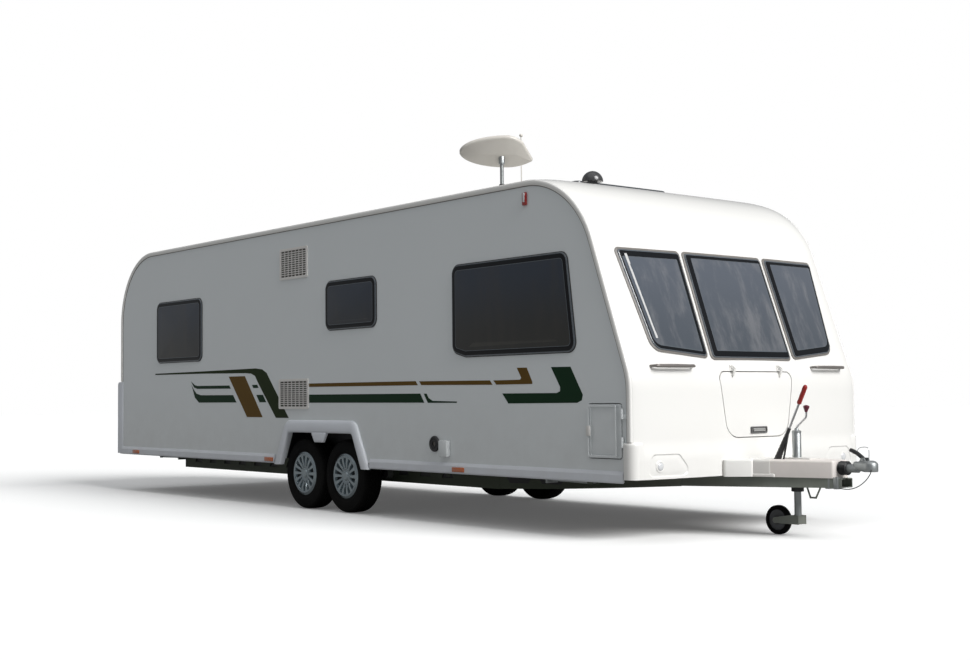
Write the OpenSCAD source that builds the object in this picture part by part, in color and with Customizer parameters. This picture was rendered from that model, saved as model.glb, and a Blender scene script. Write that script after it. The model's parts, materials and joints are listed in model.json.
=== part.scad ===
// Twin-axle travel caravan, standing level on its wheels and jockey wheel.
// Frame: +X forward to the hitch, +Y left, +Z up, millimetres.
// The origin is on the floor, midway between the rear bumper and the hitch tip.

/* [Body] */
// Rear wall to front wall, along the side
body_l = 7638; // [7300:1:8000]
// Width over the side walls
body_w = 2360; // [2280:1:2440]
// Height of the side wall's top edge
roof_edge_z = 2463; // [2400:1:2540]
// Thickness of the sandwich walls
wall_t = 32; // [24:1:40]
// Thickness of the floor panel
floor_t = 44; // [34:1:54]
// Height of the floor panel's underside
floor_z = 430; // [415:1:450]
// Radius of the roof's front and rear corners, seen from the side
roof_r = 700; // [600:1:760]
// Angle that the front leans back
rake = 20; // [16:1:24]
// Radius between the upright and the raked part of the front
chin_r = 500; // [400:1:560]
// Height at which the upright part of the front ends
chin_z = 981; // [940:1:1020]
// Thickness of the moulded front, roof and rear skins
skin_t = 30; // [24:1:34]
// Step of the skins over the side walls' edges
skin_edge = 20; // [14:1:26]
// Bulge of the front skin at its middle
front_bow = 65; // [45:1:80]
// Bulge of the roof skin at its middle
roof_bow = 36; // [24:1:50]
// Bulge of the rear skin at its middle
rear_bow = 36; // [24:1:50]
// Height of the skins' lower edges
skin_bottom_z = 410; // [400:1:425]

/* [Windows] */
// Overlap of a pane over its opening
pane_lap = 25; // [15:1:35]
// Thickness of the acrylic panes
pane_t = 6; // [4:1:9]
// Corner radius of the panes
pane_r = 75; // [50:1:100]
// Tops of the side windows below the side wall's top edge
window_drop = 513; // [470:1:560]
// Length of the rear side window
rear_pane_l = 978; // [850:1:1100]
// Height of the rear side window
rear_pane_h = 623; // [560:1:680]
// Length of the middle side window
mid_pane_l = 760; // [650:1:860]
// Height of the middle side window
mid_pane_h = 423; // [350:1:500]
// Length of the front side window along its top
front_pane_l = 1283; // [1100:1:1320]
// Height of the front side window
front_pane_h = 700; // [630:1:730]
// Half width of the middle front pane
nose_pane_w = 415; // [360:1:440]
// Width of the pillar between two front panes
pillar_w = 46; // [40:1:70]

/* [Doors] */
// Width of the entrance doorway
door_w = 640; // [580:1:700]
// Doorway's top below the side wall's top edge
door_drop = 273; // [210:1:340]
// Gap round a door or lid
door_gap = 6; // [5:1:9]
// Width of the service locker door
hatch_w = 322; // [280:1:360]
// Height of the service locker door
hatch_h = 367; // [320:1:400]
// Half width of the gas locker lid at its top
lid_top_w = 396; // [360:1:420]
// Half width of the gas locker lid at its bottom
lid_low_w = 318; // [280:1:350]
// Height of the gas locker lid's top
lid_top_z = 1118; // [1090:1:1130]
// Height of the gas locker lid's bottom
lid_low_z = 660; // [640:1:720]
// Radius of the hinge pins
pin_r = 5; // [4:0.5:6]

/* [Running gear] */
// Front wall back to the middle of the two axles
axle_back = 3697; // [3660:1:3740]
// Distance between the two axles
axle_gap = 640; // [630:1:660]
// Radius of a tyre
tyre_r = 307; // [300:1:310]
// Width of a tyre
tyre_w = 185; // [175:1:195]
// Radius of the rim's seat
rim_r = 178; // [172:1:184]
// Tyre's outer face in from the side wall's outer face
tyre_in = 30; // [22:1:40]
// Outer face of the chassis rails in from the side walls
rail_in = 390; // [380:1:420]
// Depth of the chassis rails
rail_h = 176; // [160:1:190]
// Thickness of the chassis rails' pressed steel
rail_t = 6; // [5:1:8]
// Width of the chassis rails' flanges
flange_w = 52; // [40:1:60]
// Radius of the axle tubes
tube_r = 48; // [42:1:54]

/* [Drawbar] */
// Front wall to the hitch tip
drawbar_l = 1049; // [1000:1:1100]
// Front wall to the jockey wheel's tube
jockey_out = 413; // [390:1:430]
// Radius of the jockey wheel
jockey_r = 100; // [90:1:106]
// Trail of the jockey wheel behind its tube
jockey_trail = 165; // [150:1:180]
// Radius of the tow ball's socket
ball_r = 25; // [24:0.5:26]

/* [Rear] */
// Depth of the rear bumper behind the rear wall
bumper_d = 100; // [90:1:120]

/* [Roof fittings] */
// Front wall back to the aerial's mast
mast_back = 1593; // [1490:1:1690]
// Height of the aerial's head over the roof
mast_h = 205; // [190:1:240]

/* [Hidden] */

$fn = 48;
// A gap that lets a piece move or seat without touching
seat = 0.3;
// How far a cutter reaches past what it cuts
over = 20;

half_w = body_w / 2;
rear_x = -(bumper_d + body_l + drawbar_l) / 2;
wall_x = rear_x + bumper_d;
front_x = wall_x + body_l;
tip_x = front_x + drawbar_l;
axle_x = front_x - axle_back;
rail_z = floor_z - rail_h;
rail_y = half_w - rail_in;
window_top_z = roof_edge_z - window_drop;
door_top_z = roof_edge_z - door_drop;
// How far a cutter reaches that goes through a curved skin
skin_reach = 200;

// A place along the body, measured from the rear wall
function st(d) = wall_x + d;
// A place along the body, measured back from the front wall
function fr(d) = front_x - d;

// The side's outline: each station is [angle of its normal, x, z], front bottom to rear bottom
chin_c = [front_x - chin_r, chin_z];
brow_z = roof_edge_z - roof_r;
rake_d = cos(rake) * chin_c[0] + sin(rake) * chin_c[1] + chin_r;
brow_c = [(rake_d - roof_r - sin(rake) * brow_z) / cos(rake), brow_z];
tail_c = [wall_x + roof_r, brow_z];
function arc(c, r, a0, a1, n) =
    [for (i = [0:n]) let(a = a0 + (a1 - a0) * i / n) [a, c[0] + r * cos(a), c[1] + r * sin(a)]];
front_low = [0, front_x, skin_bottom_z];
front_line = concat([front_low], arc(chin_c, chin_r, 0, rake, 3), arc(brow_c, roof_r, rake, 90, 9));
rear_line = concat(arc(tail_c, roof_r, 90, 180, 9), [[180, wall_x, skin_bottom_z]]);
roof_line = [front_line[len(front_line) - 1], rear_line[0]];
side_line = concat(front_line, rear_line);

// The skins stand off the side's outline by an amount that follows the width; f is y over half_w
function bulge(a) = a <= rake ? front_bow
    : a <= 90 ? front_bow + (roof_bow - front_bow) * (a - rake) / (90 - rake)
    : roof_bow + (rear_bow - roof_bow) * (a - 90) / 90;
function stand(a, f) = skin_edge + bulge(a) * (0.4 * (1 - pow(abs(f), 14)) + 0.6 * (1 - f * f));
in_share = 1 - wall_t / half_w;
half_cols = [0.35, 0.65, 0.82, 0.91, 0.955, in_share - 0.0001, in_share, 0.99, 1];
cols = concat([for (i = [len(half_cols) - 1:-1:0]) -half_cols[i]], [0], half_cols);
function inner(a, f) = abs(f) >= in_share ? 0 : max(0, stand(a, f) - skin_t);

// The stand-off as the skins' flat facets give it
function flat(a, y) = lookup(abs(y) / half_w, [for (c = concat([0], half_cols)) [c, stand(a, c)]]);
// Front skin's outer face at a width and a height, below the brow
function nose_x(y, z) = let(d = flat(0, y))
    lookup(z, [for (s = front_line) [s[2] + d * sin(s[0]), s[1] + d * cos(s[0])]]);
// Roof skin's outer face at a width
function roof_z(y) = roof_edge_z + flat(90, y);

// Points of one face of a skin: stations by columns
function face(line, off) = [for (s = line, f = cols)
    let(d = off(s[0], f)) [s[1] + d * cos(s[0]), f * half_w, s[2] + d * sin(s[0])]];
// Triangles that close two faces of n stations by m columns into a solid
function quad(a, b, c, d) = [[a, b, c], [a, c, d]];
function closed(n, m) = let(k = n * m) concat(
    [for (i = [0:n - 2], j = [0:m - 2], t = quad(i * m + j, i * m + j + 1, (i + 1) * m + j + 1,
        (i + 1) * m + j)) t],
    [for (i = [0:n - 2], j = [0:m - 2], t = quad(k + i * m + j, k + (i + 1) * m + j,
        k + (i + 1) * m + j + 1, k + i * m + j + 1)) t],
    [for (i = [0:n - 2], e = [0, m - 1], t = e == 0 ?
        quad(i * m, (i + 1) * m, k + (i + 1) * m, k + i * m) :
        quad(i * m + e, k + i * m + e, k + (i + 1) * m + e, (i + 1) * m + e)) t],
    [for (j = [0:m - 2], e = [0, n - 1], t = e == 0 ?
        quad(j, k + j, k + j + 1, j + 1) :
        quad(e * m + j, e * m + j + 1, k + e * m + j + 1, k + e * m + j)) t]);

// A solid swept along a line of stations, between two stand-off functions of [angle, width share]
module skin(line, low, high) {
    polyhedron(concat(face(line, low), face(line, high)), closed(len(line), len(cols)));
}
outside = function(a, f) stand(a, f);
inside = function(a, f) inner(a, f);
// A layer that lies on the skins, from one height over them to another
module layer(line, from, to) {
    skin(line, function(a, f) stand(a, f) + from, function(a, f) stand(a, f) + to);
}

// A box by its corners
module block(x, y, z) {
    translate([x[0], y[0], z[0]]) cube([x[1] - x[0], y[1] - y[0], z[1] - z[0]]);
}
// A flat outline of [x, z] made solid from y0 to y1
module across(y0, y1) {
    translate([0, y1, 0]) rotate([90, 0, 0]) linear_extrude(y1 - y0) children();
}
// A flat outline of [y, z] made solid from x0 to x1
module along(x0, x1) {
    translate([x0, 0, 0]) rotate([90, 0, 90]) linear_extrude(x1 - x0) children();
}
// A rectangle with round corners, from its lower left to its upper right corner
module rounded(a, b, r) {
    translate([a[0] + r, a[1]]) square([b[0] - a[0] - 2 * r, b[1] - a[1]]);
    translate([a[0], a[1] + r]) square([b[0] - a[0], b[1] - a[1] - 2 * r]);
    for (x = [a[0] + r, b[0] - r], z = [a[1] + r, b[1] - r]) translate([x, z]) circle(r);
}
// A polygon with round corners
module soft(points, r) {
    offset(r, $fn = 32) offset(delta = -r) polygon(points);
}
// A rod between two points, which may taper to r2
module rod(p, q, r, r2 = 0) {
    d = q - p;
    l = norm(d);
    translate(p) rotate([0, acos(d[2] / l), atan2(d[1], d[0])]) cylinder(h = l, r1 = r,
        r2 = r2 > 0 ? r2 : r);
}
// A mirrored copy on the left of what is made on the right
module left() {
    mirror([0, 1, 0]) children();
}
module both() {
    children();
    left() children();
}

// Side windows: each pane is [its rear edge, length, height]
rear_pane = [st(838), rear_pane_l, rear_pane_h];
front_pane_x = fr(1852);
// The left side has the door between its windows
left_panes = [rear_pane, [fr(3638), mid_pane_l, mid_pane_h]];
right_panes = [rear_pane, [fr(3608), mid_pane_l, mid_pane_h]];
module pane_outline(p, in) {
    rounded([p[0] + in, window_top_z - p[2] + in], [p[0] + p[1] - in, window_top_z - in], pane_r - in);
}
front_pane_lean = 90;
module front_pane_outline(in) {
    a = front_pane_x + in;
    b = front_pane_x + front_pane_l;
    low = window_top_z - front_pane_h + in;
    top = window_top_z - in;
    soft([[a, low + 40], [a + 160, low], [b + front_pane_lean - in, low], [b - in, top], [a, top]],
        pane_r - in);
}
module side_panes(panes) {
    across(-half_w - pane_t, -half_w) {
        for (p = panes) pane_outline(p, 0);
        front_pane_outline(0);
    }
}
module side_openings(panes) {
    across(-half_w - over, -half_w + wall_t + over) {
        for (p = panes) pane_outline(p, pane_lap);
        front_pane_outline(pane_lap);
    }
}

// The arch over both wheels: half widths at its foot and at its top
arch_low_z = 385;
arch_top_z = 663;
arch_low = axle_gap / 2 + tyre_r + 8;
arch_top = axle_gap / 2 + 182;
spat_w = 108;
spat_top_w = 36;
spat_t = 26;
module arch_outline() {
    polygon([[axle_x - arch_low, arch_low_z - 60], [axle_x - arch_low, arch_low_z], [axle_x - arch_top,
        arch_top_z],
        [axle_x + arch_top, arch_top_z], [axle_x + arch_low, arch_low_z], [axle_x + arch_low,
            arch_low_z - 60]]);
}
module spat_outline() {
    difference() {
        soft([[axle_x - arch_low - spat_w, arch_low_z - 8], [axle_x - arch_top - spat_top_w,
            arch_top_z + spat_w],
            [axle_x + arch_top + spat_top_w, arch_top_z + spat_w], [axle_x + arch_low + spat_w,
                arch_low_z - 8]], 30);
        arch_outline();
    }
    polygon([[axle_x - 125, arch_top_z + 4], [axle_x - 70, arch_top_z - 80], [axle_x + 70, arch_top_z - 80],
        [axle_x + 125, arch_top_z + 4]]);
}
module wheel_spats() {
    color("gainsboro") both() across(-half_w - spat_t, -half_w) spat_outline();
}

// Wheel boxes over the tyres, open below and outwards
box_t = 10;
box_in = tyre_in + tyre_w + 60;
box_l = arch_low + 40;
box_z = arch_top_z + 50;
module wheel_boxes() {
    y0 = -half_w + wall_t;
    y1 = -half_w + box_in;
    color("#222426") both() difference() {
        block([axle_x - box_l, axle_x + box_l], [y0, y1], [floor_z, box_z]);
        block([axle_x - box_l + box_t, axle_x + box_l - box_t], [y0 - over, y1 - box_t],
            [floor_z - over, box_z - box_t]);
    }
}

// Doors, lids and their pins
door_x = fr(2708);
door_low_z = floor_z + 40;
hatch_x = fr(383);
hatch_z = 541;
door_r = 60;
knuckle_r = 10;
pin_out = 12;
leaf_t = 8;
leaf_l = 34;
knuckle_l = 34;
door_pin_x = door_x + door_w + 8;
hatch_pin_x = hatch_x + hatch_w + 8;
pin_y = half_w + pin_out;
door_hinges = [door_low_z + 180, (door_low_z + door_top_z) / 2, door_top_z - 180];
hatch_hinges = [hatch_z + 110, hatch_z + hatch_h - 70];
module door_outline(in) {
    rounded([door_x + in, door_low_z + in], [door_x + door_w - in, door_top_z - in], door_r - in);
}
module hatch_outline(in) {
    rounded([hatch_x + in, hatch_z + in], [hatch_x + hatch_w - in, hatch_z + hatch_h - in], 24 - in);
}
// The half of a side hinge that stays on the wall, with its pin
module wall_leaf(x, z) {
    translate([x, -pin_y, z - knuckle_l]) cylinder(h = knuckle_l, r = knuckle_r);
    translate([x, -pin_y, z - 1]) cylinder(h = knuckle_l, r = pin_r);
    block([x, x + leaf_l], [-half_w - leaf_t, -half_w], [z - knuckle_l, z]);
}
// The half that rides on the door
module door_leaf(x, z) {
    difference() {
        union() {
            translate([x, -pin_y, z + 1]) cylinder(h = knuckle_l, r = knuckle_r);
            block([x - leaf_l, x], [-half_w - leaf_t, -half_w - 2], [z + 1, z + 1 + knuckle_l]);
            block([x - leaf_l, x - 8 - door_gap - 4], [-half_w - leaf_t, -half_w + 2], [z + 1,
                z + 1 + knuckle_l]);
        }
        translate([x, -pin_y, z - over]) cylinder(h = knuckle_l + 2 * over, r = pin_r + seat);
    }
}
handle_z = 1130;
handle_h = 160;
door_pane_h = 530;
door_pane_in = 130;
module entrance_door() {
    color("white") left() difference() {
        union() {
            across(-half_w, -half_w + wall_t) door_outline(door_gap);
            for (z = door_hinges) door_leaf(door_pin_x, z);
            block([door_x + 40, door_x + 75], [-half_w - 14, -half_w], [handle_z, handle_z + handle_h]);
        }
        across(-half_w - over, -half_w + wall_t + over) door_pane_outline(pane_lap);
    }
}
module door_pane_outline(in) {
    rounded([door_x + door_pane_in + in, window_top_z - door_pane_h + in],
        [door_x + door_w - door_pane_in - in, window_top_z - in], pane_r - in);
}
module door_window() {
    color("#2a3038") left() across(-half_w - pane_t, -half_w) door_pane_outline(0);
}
frame_w = 24;
frame_t = 5;
latch_l = 16;
latch_h = 70;
module service_door() {
    mid = hatch_z + hatch_h / 2;
    color("white") {
        across(-half_w, -half_w + wall_t) hatch_outline(door_gap);
        across(-half_w - frame_t, -half_w) difference() {
            hatch_outline(door_gap);
            rounded([hatch_x + frame_w, hatch_z + frame_w], [hatch_x + hatch_w - frame_w,
                hatch_z + hatch_h - frame_w], 8);
        }
        block([hatch_x + door_gap, hatch_x + door_gap + latch_l], [-half_w - 2 * frame_t, -half_w],
            [mid - latch_h / 2, mid + latch_h / 2]);
        for (z = hatch_hinges) door_leaf(hatch_pin_x, z);
    }
}

// Gas locker lid, hinged along its top edge
lid_pin_z = lid_top_z + 10;
lid_pin_x = nose_x(lid_top_w, lid_top_z) + 26;
lid_hinge_y = 250;
lid_line = concat([[0, front_x, lid_low_z - 80]], arc(chin_c, chin_r, 0, rake, 3));
// The same stations, taken on up the raked part
lid_line_high = concat(lid_line, [front_line[5]]);
module lid_outline(in) {
    soft([[-lid_low_w + in, lid_low_z + in], [lid_low_w - in, lid_low_z + in],
        [lid_top_w - in, lid_top_z - in], [-lid_top_w + in, lid_top_z - in]], 70);
}
module gas_locker_lid() {
    color("white") {
        intersection() {
            skin(lid_line, function(a, f) stand(a, f) - skin_t, outside);
            along(front_x - over, front_x + skin_reach) lid_outline(door_gap);
        }
        for (s = [-1, 1]) lid_knuckle(s * lid_hinge_y);
        intersection() {
            layer(lid_line, -latch_h / 10, 2 * frame_t);
            along(front_x, front_x + skin_reach) rounded([-lid_latch_w, lid_low_z + lid_latch_up],
                [lid_latch_w, lid_low_z + lid_latch_up + lid_latch_h], 8);
        }
    }
}
lid_latch_w = 85;
lid_latch_up = 28;
lid_latch_h = 47;
lid_arm_w = 30;
module lid_knuckle(y) {
    x = nose_x(y, lid_top_z - 60);
    difference() {
        union() {
            translate([lid_pin_x, y - lid_arm_w / 2, lid_pin_z]) rotate([-90, 0,
                0]) cylinder(h = lid_arm_w, r = knuckle_r);
            across(y - lid_arm_w / 2, y + lid_arm_w / 2) polygon([[x - 8, lid_top_z - 70], [x + 12,
                lid_top_z - 70],
                [lid_pin_x + knuckle_r, lid_pin_z], [lid_pin_x - 4, lid_pin_z - knuckle_r]]);
        }
        translate([lid_pin_x, y - lid_arm_w, lid_pin_z]) rotate([-90, 0,
            0]) cylinder(h = 2 * lid_arm_w, r = pin_r + seat);
    }
}
module lid_bracket(y) {
    x = nose_x(y, lid_pin_z + 30);
    intersection() {
        for (s = [-1, 1]) across(y + s * (lid_arm_w / 2 + 6) - 5, y + s * (lid_arm_w / 2 + 6) + 5)
            polygon([[x - 20, lid_pin_z + 14], [lid_pin_x - knuckle_r, lid_pin_z - 8],
                [lid_pin_x + knuckle_r, lid_pin_z - 8],
                [lid_pin_x + knuckle_r, lid_pin_z + knuckle_r], [x - 20, lid_pin_z + 50]]);
        layer(lid_line_high, seat, 150);
    }
    translate([lid_pin_x, y - lid_arm_w / 2 - 8, lid_pin_z]) rotate([-90, 0,
        0]) cylinder(h = lid_arm_w + 16, r = pin_r);
}
module hinge_brackets() {
    color("silver") {
        left() for (z = door_hinges) wall_leaf(door_pin_x, z);
        for (z = hatch_hinges) wall_leaf(hatch_pin_x, z);
        for (s = [-1, 1]) lid_bracket(s * lid_hinge_y);
    }
}
locker_depth = 480;
locker_t = 15;
module gas_locker_box() {
    w = lid_top_w + 40;
    x0 = front_x - locker_depth;
    top = lid_top_z + 40;
    low = floor_z + floor_t;
    color("whitesmoke") difference() {
        block([x0, front_x + 200], [-w, w], [low, top]);
        block([x0 + locker_t, front_x + 300], [-w + locker_t, w - locker_t], [low + locker_t,
            top - locker_t]);
        skin(concat([front_low], lid_line_high), function(a, f) inner(a, f) - seat, function(a,
            f) stand(a, f) + 300);
    }
}

// Walls
module side_shape() {
    polygon(concat([[wall_x, floor_z], [front_x, floor_z]],
        [for (i = [1:len(side_line) - 2]) [side_line[i][1], side_line[i][2]]]));
}
module plain_wall() {
    across(-half_w, -half_w + wall_t) side_shape();
}
module wall_cutter() {
    across(-half_w - over, -half_w + wall_t + over) children();
}
// Fridge vents: each is [its rear edge, length, lower edge, height]
upper_vent = [axle_x - 658, 459, window_top_z + 60, 275];
lower_vent = [axle_x - 679, 490, 866, 264];
vent_lap = 18;
module vent_outline(v, in) {
    rounded([v[0] + in, v[2] + in], [v[0] + v[1] - in, v[2] + v[3] - in], 14);
}
module side_wall_right() {
    color("white") difference() {
        plain_wall();
        side_openings(right_panes);
        wall_cutter() {
            arch_outline();
            hatch_outline(0);
            vent_outline(upper_vent, vent_lap);
            vent_outline(lower_vent, vent_lap);
        }
    }
}
module side_wall_left() {
    color("white") left() difference() {
        plain_wall();
        side_openings(left_panes);
        wall_cutter() {
            arch_outline();
            door_outline(0);
        }
    }
}
module side_windows_right() {
    color("#2a3038") side_panes(right_panes);
}
module side_windows_left() {
    color("#2a3038") left() side_panes(left_panes);
}
vent_bars = 12;
vent_posts = 7;
vent_t = 9;
module vent(v) {
    y0 = -half_w - vent_t;
    across(y0, -half_w) difference() {
        vent_outline(v, 0);
        vent_outline(v, 22);
    }
    for (i = [1:vent_bars - 1]) let(z = v[2] + 22 + (v[3] - 44) * i / vent_bars)
        block([v[0] + 20, v[0] + v[1] - 20], [y0 + 2, -half_w], [z - 3.5, z + 3.5]);
    for (i = [1:vent_posts - 1]) let(x = v[0] + 22 + (v[1] - 44) * i / vent_posts)
        block([x - 3, x + 3], [y0 + 2, -half_w], [v[2] + 20, v[2] + v[3] - 20]);
}
module fridge_vents() {
    color("ivory") {
        vent(upper_vent);
        vent(lower_vent);
    }
}

// Front, roof and rear skins
nose_low_z = chin_z + 224;
nose_top_z = window_top_z - 2;
nose_out_low = half_w - 235;
nose_out_top = half_w - 148;
nose_reach = 700;
module nose_pane_outline(in) {
    soft([[-nose_pane_w + in, nose_low_z + in], [nose_pane_w - in, nose_low_z + in],
        [nose_pane_w - 8 - in, nose_top_z - in], [-nose_pane_w + 8 + in, nose_top_z - in]], 40);
    for (s = [-1, 1]) scale([s, 1]) soft([[nose_pane_w + pillar_w + in, nose_low_z + 8 + in],
        [nose_out_low - in, nose_low_z + 55 + in], [nose_out_top - in, nose_top_z - in],
        [nose_pane_w + pillar_w - 8 + in, nose_top_z - in]], 40);
}
raked_line = [front_line[4], front_line[5]];
module front_windows() {
    color("#55606c") intersection() {
        layer(raked_line, seat, seat + pane_t);
        along(front_x - nose_reach, front_x + skin_reach) nose_pane_outline(0);
    }
}
module front_panel() {
    color("white") difference() {
        skin(front_line, inside, outside);
        along(front_x - nose_reach, front_x + skin_reach) nose_pane_outline(pane_lap);
        along(front_x - over, front_x + skin_reach) lid_outline(0);
    }
}
module roof_panel() {
    color("white") difference() {
        skin(roof_line, inside, outside);
        roof_holes();
        translate([mast_x, mast_y, roof_edge_z - skin_reach]) cylinder(h = 2 * skin_reach, r = mast_r + 4);
    }
}
rear_pane_w = half_w - 620;
rear_top_z = window_top_z - 220;
rear_low_z = rear_top_z - 440;
module rear_outline(in) {
    rounded([-rear_pane_w + in, rear_low_z + in], [rear_pane_w - in, rear_top_z - in], pane_r - in);
}
rear_wall_line = [[180, wall_x, rear_line[9][2]], [180, wall_x, skin_bottom_z]];
module rear_panel() {
    color("white") difference() {
        skin(rear_line, inside, outside);
        along(wall_x - skin_reach, wall_x + skin_reach) rear_outline(pane_lap);
    }
}
module rear_window() {
    color("#2a3038") intersection() {
        layer(rear_wall_line, seat, seat + pane_t);
        along(wall_x - skin_reach, wall_x + skin_reach) rear_outline(0);
    }
}

// Lower front moulding and rear bumper
valance_z = 668;
valance_t = 18;
lamp_y = half_w - 210;
lamp_z = 492;
lamp_r = 42;
// Its ends wrap round the front corners, as far as the side skirts
wrap_l = 46;
wrap_top_z = 600;
wrap_out = skin_edge + valance_t;
module valance_wrap() {
    translate([0, 0, skin_bottom_z]) linear_extrude(wrap_top_z - skin_bottom_z)
        polygon([[front_x - wrap_l, -half_w],
        [front_x - wrap_l + 6, -half_w - valance_t + 4], [front_x - wrap_l + 20, -half_w - valance_t],
            [front_x, -half_w - valance_t],
        [front_x + wrap_out - 12, -half_w - valance_t + 6], [front_x + wrap_out, -half_w],
            [front_x + wrap_out, -half_w + 2],
        [front_x + skin_edge + 3, -half_w + 2], [front_x + skin_edge + 3, -half_w]]);
}
module front_valance() {
    color("whitesmoke") {
        difference() {
            layer([front_low, [0, front_x, valance_z]], seat, valance_t);
            along(front_x - over, front_x + skin_reach) lid_outline(-12);
            for (s = [-1, 1]) translate([front_x - over, s * lamp_y, lamp_z]) rotate([0, 90,
                0]) cylinder(h = skin_reach, r = lamp_r);
        }
        both() valance_wrap();
    }
}
bumper_low_z = 386;
bumper_top_z = 700;
lamp_panel_z = 1150;
lamp_panel_w = 240;
module rear_bumper() {
    low = function(a, f) stand(a, f) + seat;
    high = function(a, f) max(stand(a, f) + 4, bumper_d - lamp_proud - 45 * pow(abs(f), 24));
    color("whitesmoke") difference() {
    intersection() {
        skin([[180, wall_x, lamp_panel_z], [180, wall_x, bumper_low_z]], low, high);
        along(rear_x - over, wall_x + over) {
            translate([-half_w - over, bumper_low_z]) square([2 * half_w + 2 * over,
                bumper_top_z - bumper_low_z]);
            for (s = [-1, 1]) translate([s * (half_w - lamp_panel_w / 2 + over / 2)
                - lamp_panel_w / 2 - over / 2, bumper_low_z])
                square([lamp_panel_w + over, lamp_panel_z - bumper_low_z]);
        }
    }
        both() tail_lamp_place() translate([0, 0,
            -over]) cylinder(h = over + lamp_proud + lamp_deep + seat, r = tail_lamp_r + seat);
    }
}
lamp_proud = 8;
lamp_deep = 20;
tail_lamp_r = 48;
tail_lamps = [800, 920, 1040];
module tail_lamp_place() {
    for (z = tail_lamps) translate([rear_x, -half_w + 125, z]) rotate([0, 90, 0]) children();
}
module rear_lamps() {
    color("#a01818") both() tail_lamp_place() cylinder(h = lamp_proud + lamp_deep, r = tail_lamp_r);
}
outline_x = fr(1002);
outline_drop = 63;
outline_h = 95;
outline_w = 44;
module position_lamps() {
    color("whitesmoke") {
        for (s = [-1, 1]) translate([nose_x(lamp_y - lamp_r, lamp_z) + seat, s * lamp_y, lamp_z])
            rotate([0, 90, 0]) cylinder(h = valance_t, r = lamp_r - seat);
        both() block([outline_x - outline_w / 2, outline_x + outline_w / 2], [-half_w - outline_w / 2,
            -half_w],
            [roof_edge_z - outline_drop - outline_h, roof_edge_z - outline_drop]);
    }
}

// Rails and trim along the sides
rail_low_z = 385;
rail_top_z = 465;
skirt_t = 15;
module skirt_profile() {
    polygon([[-half_w, rail_low_z + 8], [-half_w - skirt_t + 6, rail_low_z], [-half_w - skirt_t,
        rail_low_z + 10],
        [-half_w - skirt_t, rail_top_z - 24], [-half_w - 5, rail_top_z], [-half_w, rail_top_z]]);
}
skirt_rear = [st(20), axle_x - arch_low - spat_w - 4];
skirt_front = [axle_x + arch_low + spat_w + 4, fr(wrap_l + 4)];
module skirt_rails() {
    color("gainsboro") both() for (r = [skirt_rear, skirt_front]) along(r[0], r[1]) skirt_profile();
}
marker_at = [st(380), axle_x - 837, fr(1777)];
module side_markers() {
    color("orange") both() for (m = marker_at)
        block([m - 70, m + 70], [-half_w - skirt_t - 12, -half_w - skirt_t], [rail_low_z + 14,
            rail_low_z + 50]);
}
trim_in = 16;
trim_t = 11;
module trim_outline() {
    pts = side_line;
    n = len(pts);
    polygon(concat([for (p = pts) [p[1] + (skin_edge + 3) * cos(p[0]), p[2] + (skin_edge + 3) * sin(p[0])]],
        [for (i = [n - 1:-1:0]) let(p = pts[i]) [p[1] - trim_in * cos(p[0]), p[2] - trim_in * sin(p[0])]]));
}
module awning_rails() {
    color("gainsboro") both() difference() {
        across(-half_w - trim_t, -half_w) trim_outline();
        block([wall_x - skin_reach, wall_x + skin_reach], [-half_w - over, half_w], [0, lamp_panel_z + 4]);
        block([front_x - skin_reach, front_x + skin_reach], [-half_w - over, half_w], [0, wrap_top_z + 4]);
    }
}

// Grab handles: two at the front and two at the rear, each on two feet
grab_y = half_w - 360;
grab_z = 1150;
grab_l = 370;
grab_r = 11;
grab_out = 48;
// A bar along Y with a foot at each end that runs back to the skin
module handle(tip, z, foot_in, foot_out) {
    y0 = grab_y - grab_l / 2;
    y1 = grab_y + grab_l / 2;
    rod([tip, y0 - grab_r, z], [tip, y1 + grab_r, z], grab_r);
    rod([tip, y0, z], [foot_in, y0, z], grab_r - 1);
    rod([tip, y1, z], [foot_out, y1, z], grab_r - 1);
}
rear_grab_z = 1215;
function tail_x(y) = wall_x - flat(180, y);
module grab_handles() {
    y0 = grab_y - grab_l / 2 - grab_r;
    y1 = grab_y + grab_l / 2 - grab_r;
    low = grab_z - grab_r;
    color("silver") both() mirror([0, 1, 0]) {
        handle(nose_x(y0, grab_z) + grab_out, grab_z, nose_x(y0, low) + seat, nose_x(y1, low) + seat);
        handle(tail_x(y0) - grab_out, rear_grab_z, tail_x(y0) - seat, tail_x(y1) - seat);
    }
}

// Roof fittings
roof_light_in = 690;
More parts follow.
